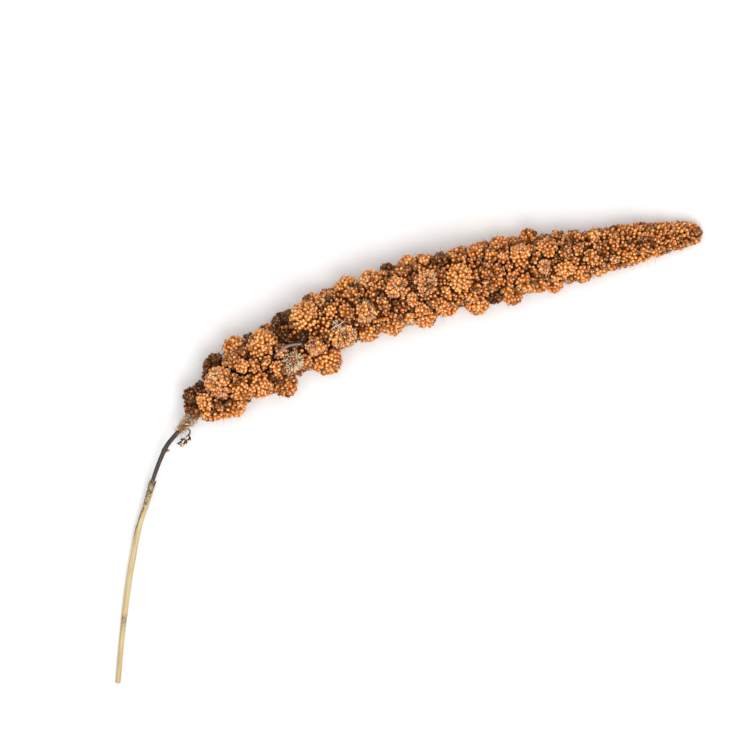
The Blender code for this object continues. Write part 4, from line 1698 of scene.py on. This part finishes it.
def mouth_station(angle):
    """Where the slanting tear meets the sheath's side at an angle."""
    across = MOUTH_LEFT - MOUTH_RIGHT
    low, high = SHEATH_FROM - 0.012, SHEATH_FROM + 0.050
    for _ in range(30):
        middle = (low + high) / 2.0
        point, _, left, _ = stem_route.frame(middle)
        place = (point + left * math.cos(angle) * 0.0014).to_2d() - MOUTH_RIGHT
        if across.x * place.y - across.y * place.x < 0.0:
            low = middle
        else:
            high = middle
    return low


def tears(angle, depth, seed):
    """A rough rim: small tears of up to the depth."""
    spot = Vector((math.cos(angle) * 2.4, math.sin(angle) * 2.4, seed))
    return depth * (noise.noise(spot) + 0.5 * noise.noise(spot * 2.7))


def add_sleeve(bm, layers, start_of, end_of, outer_of, wall_of, rings, worn_length):
    """A closed sleeve. Its start and end depend on the angle, its radii on the station."""
    unbent, worn, inner = layers
    walls = []
    for inside in (False, True):
        grid = []
        for i in range(rings + 1):
            share = (i / rings) ** 1.25
            ring = []
            for side in range(SHEATH_SIDES):
                angle = 2.0 * math.pi * side / SHEATH_SIDES
                start = start_of(angle)
                station = start + (end_of(angle) - start) * share
                point, _, left, up = stem_route.frame(station)
                radius = outer_of(station, angle) - (wall_of(station) if inside else 0.0)
                away = left * math.cos(angle) + up * math.sin(angle)
                vert = bm.verts.new(point + away * radius)
                vert[unbent] = (radius * math.cos(angle), radius * math.sin(angle), station)
                vert[worn] = max(0.0, 1.0 - (station - start) / worn_length)
                vert[inner] = 1.0 if station > LAYER_END + 0.001 else 0.0
                ring.append(vert)
            grid.append(ring)
        for here, there in zip(grid, grid[1:]):
            bridge(bm, here, there)
        walls.append(grid)
    bridge(bm, walls[0][0], walls[1][0])
    bridge(bm, walls[0][-1], walls[1][-1])


def bore(station):
    return stem_route.value(stem_radii, station) + GAP


def build_sheath():
    bm = bmesh.new()
    layers = (
        bm.verts.layers.float_vector.new("unbent"),
        bm.verts.layers.float.new("worn"),
        bm.verts.layers.float.new("inner"),
    )
    seam = 1.9

    def overlap(angle):
        """The free edge of the rolled leaf: the radius grows round it and drops at the seam."""
        return 0.00010 * (((angle - seam) / (2.0 * math.pi)) % 1.0)

    def outer_layer(station, angle):
        ridge = 0.00002 * math.sin(9.0 * angle)
        return bore(station) + SHEATH_WALL - 0.00008 + overlap(angle) + ridge

    def mottled_layer(station, angle):
        spot = Vector((2.0 * math.cos(angle), 2.0 * math.sin(angle), station * 900.0))
        return bore(station) + 0.00014 + 0.00006 * noise.noise(spot)

    def inner_layer(station, angle):
        return bore(station) + INNER_WALL + 0.00002 * math.sin(8.0 * angle)

    add_sleeve(
        bm,
        layers,
        lambda angle: max(SHEATH_FROM + 0.0004, mouth_station(angle)) + tears(angle, 0.0014, 1.0),
        lambda angle: LAYER_END + tears(angle, 0.0012, 5.0),
        outer_layer,
        lambda station: SHEATH_WALL - 0.00012,
        72,
        0.007,
    )
    add_sleeve(
        bm,
        layers,
        lambda angle: SHEATH_FROM + 0.0004 + tears(angle, 0.0010, 9.0),
        lambda angle: mouth_station(math.pi / 2.0) + 0.0150,
        mottled_layer,
        lambda station: 0.00010,
        50,
        0.060,
    )
    add_sleeve(
        bm,
        layers,
        lambda angle: LAYER_END - 0.004,
        lambda angle: stem_route.length,
        inner_layer,
        lambda station: INNER_WALL - 0.00004,
        50,
        0.012,
    )
    made = add_piece("sheath", bm, straw_sheath, "leaf_sheath", "straw")
    rest_on_surface(made.data)
    return made


sheath = build_sheath()
print("the sheath has", len(sheath.data.polygons), "faces")

# %% [markdown]
# ## Surface and light
#
# A pale floor and a bright even room keep the shadows soft. One large lamp from below the picture
# and one overhead give each grain its highlight and keep the gaps between the lobes dark.

# %% Floor
bpy.ops.mesh.primitive_plane_add(size=6.0, location=(0.0, 0.0, 0.0))
floor = bpy.context.object
floor.name = "floor"
floor_white = Finish("floor_white", 0.9)
floor_white.feed((0.90, 0.90, 0.90), floor_white.shader.inputs["Base Color"])
floor.data.materials.append(floor_white.material)


# %% Lamps
def add_lamp(name, place, target, size, power):
    data = bpy.data.lights.new(name, "AREA")
    data.size = size
    data.energy = power
    lamp = bpy.data.objects.new(name, data)
    lamp.location = place
    lamp.rotation_euler = (Vector(target) - Vector(place)).to_track_quat("-Z", "Y").to_euler()
    lamp.visible_camera = False
    bpy.context.scene.collection.objects.link(lamp)
    return lamp


add_lamp("key", (0.20, -0.40, 0.97), (0.0, 0.04, 0.0), 0.60, 5.3)
add_lamp("overhead", (-0.10, 0.05, 1.10), (0.0, 0.04, 0.0), 0.80, 5.5)

world = bpy.data.worlds.new("room")
world.use_nodes = True
world.node_tree.nodes["Background"].inputs["Color"].default_value = (1.0, 1.0, 1.0, 1.0)
world.node_tree.nodes["Background"].inputs["Strength"].default_value = 0.56
bpy.context.scene.world = world
bpy.context.scene.view_settings.view_transform = "Standard"

# %% [markdown]
# ## Tie the pieces to the plain model
#
# Each fine piece stands for the plain solid whose place it takes and rides on the same body.

# %% Ride and replace
for piece, node, slot in all_pieces:
    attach(piece, "root")
    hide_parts(node)
faces = sum(len(p.vertices) - 2 for piece, _, _ in all_pieces for p in piece.data.polygons)
print(len(all_pieces), "pieces,", faces, "triangles")
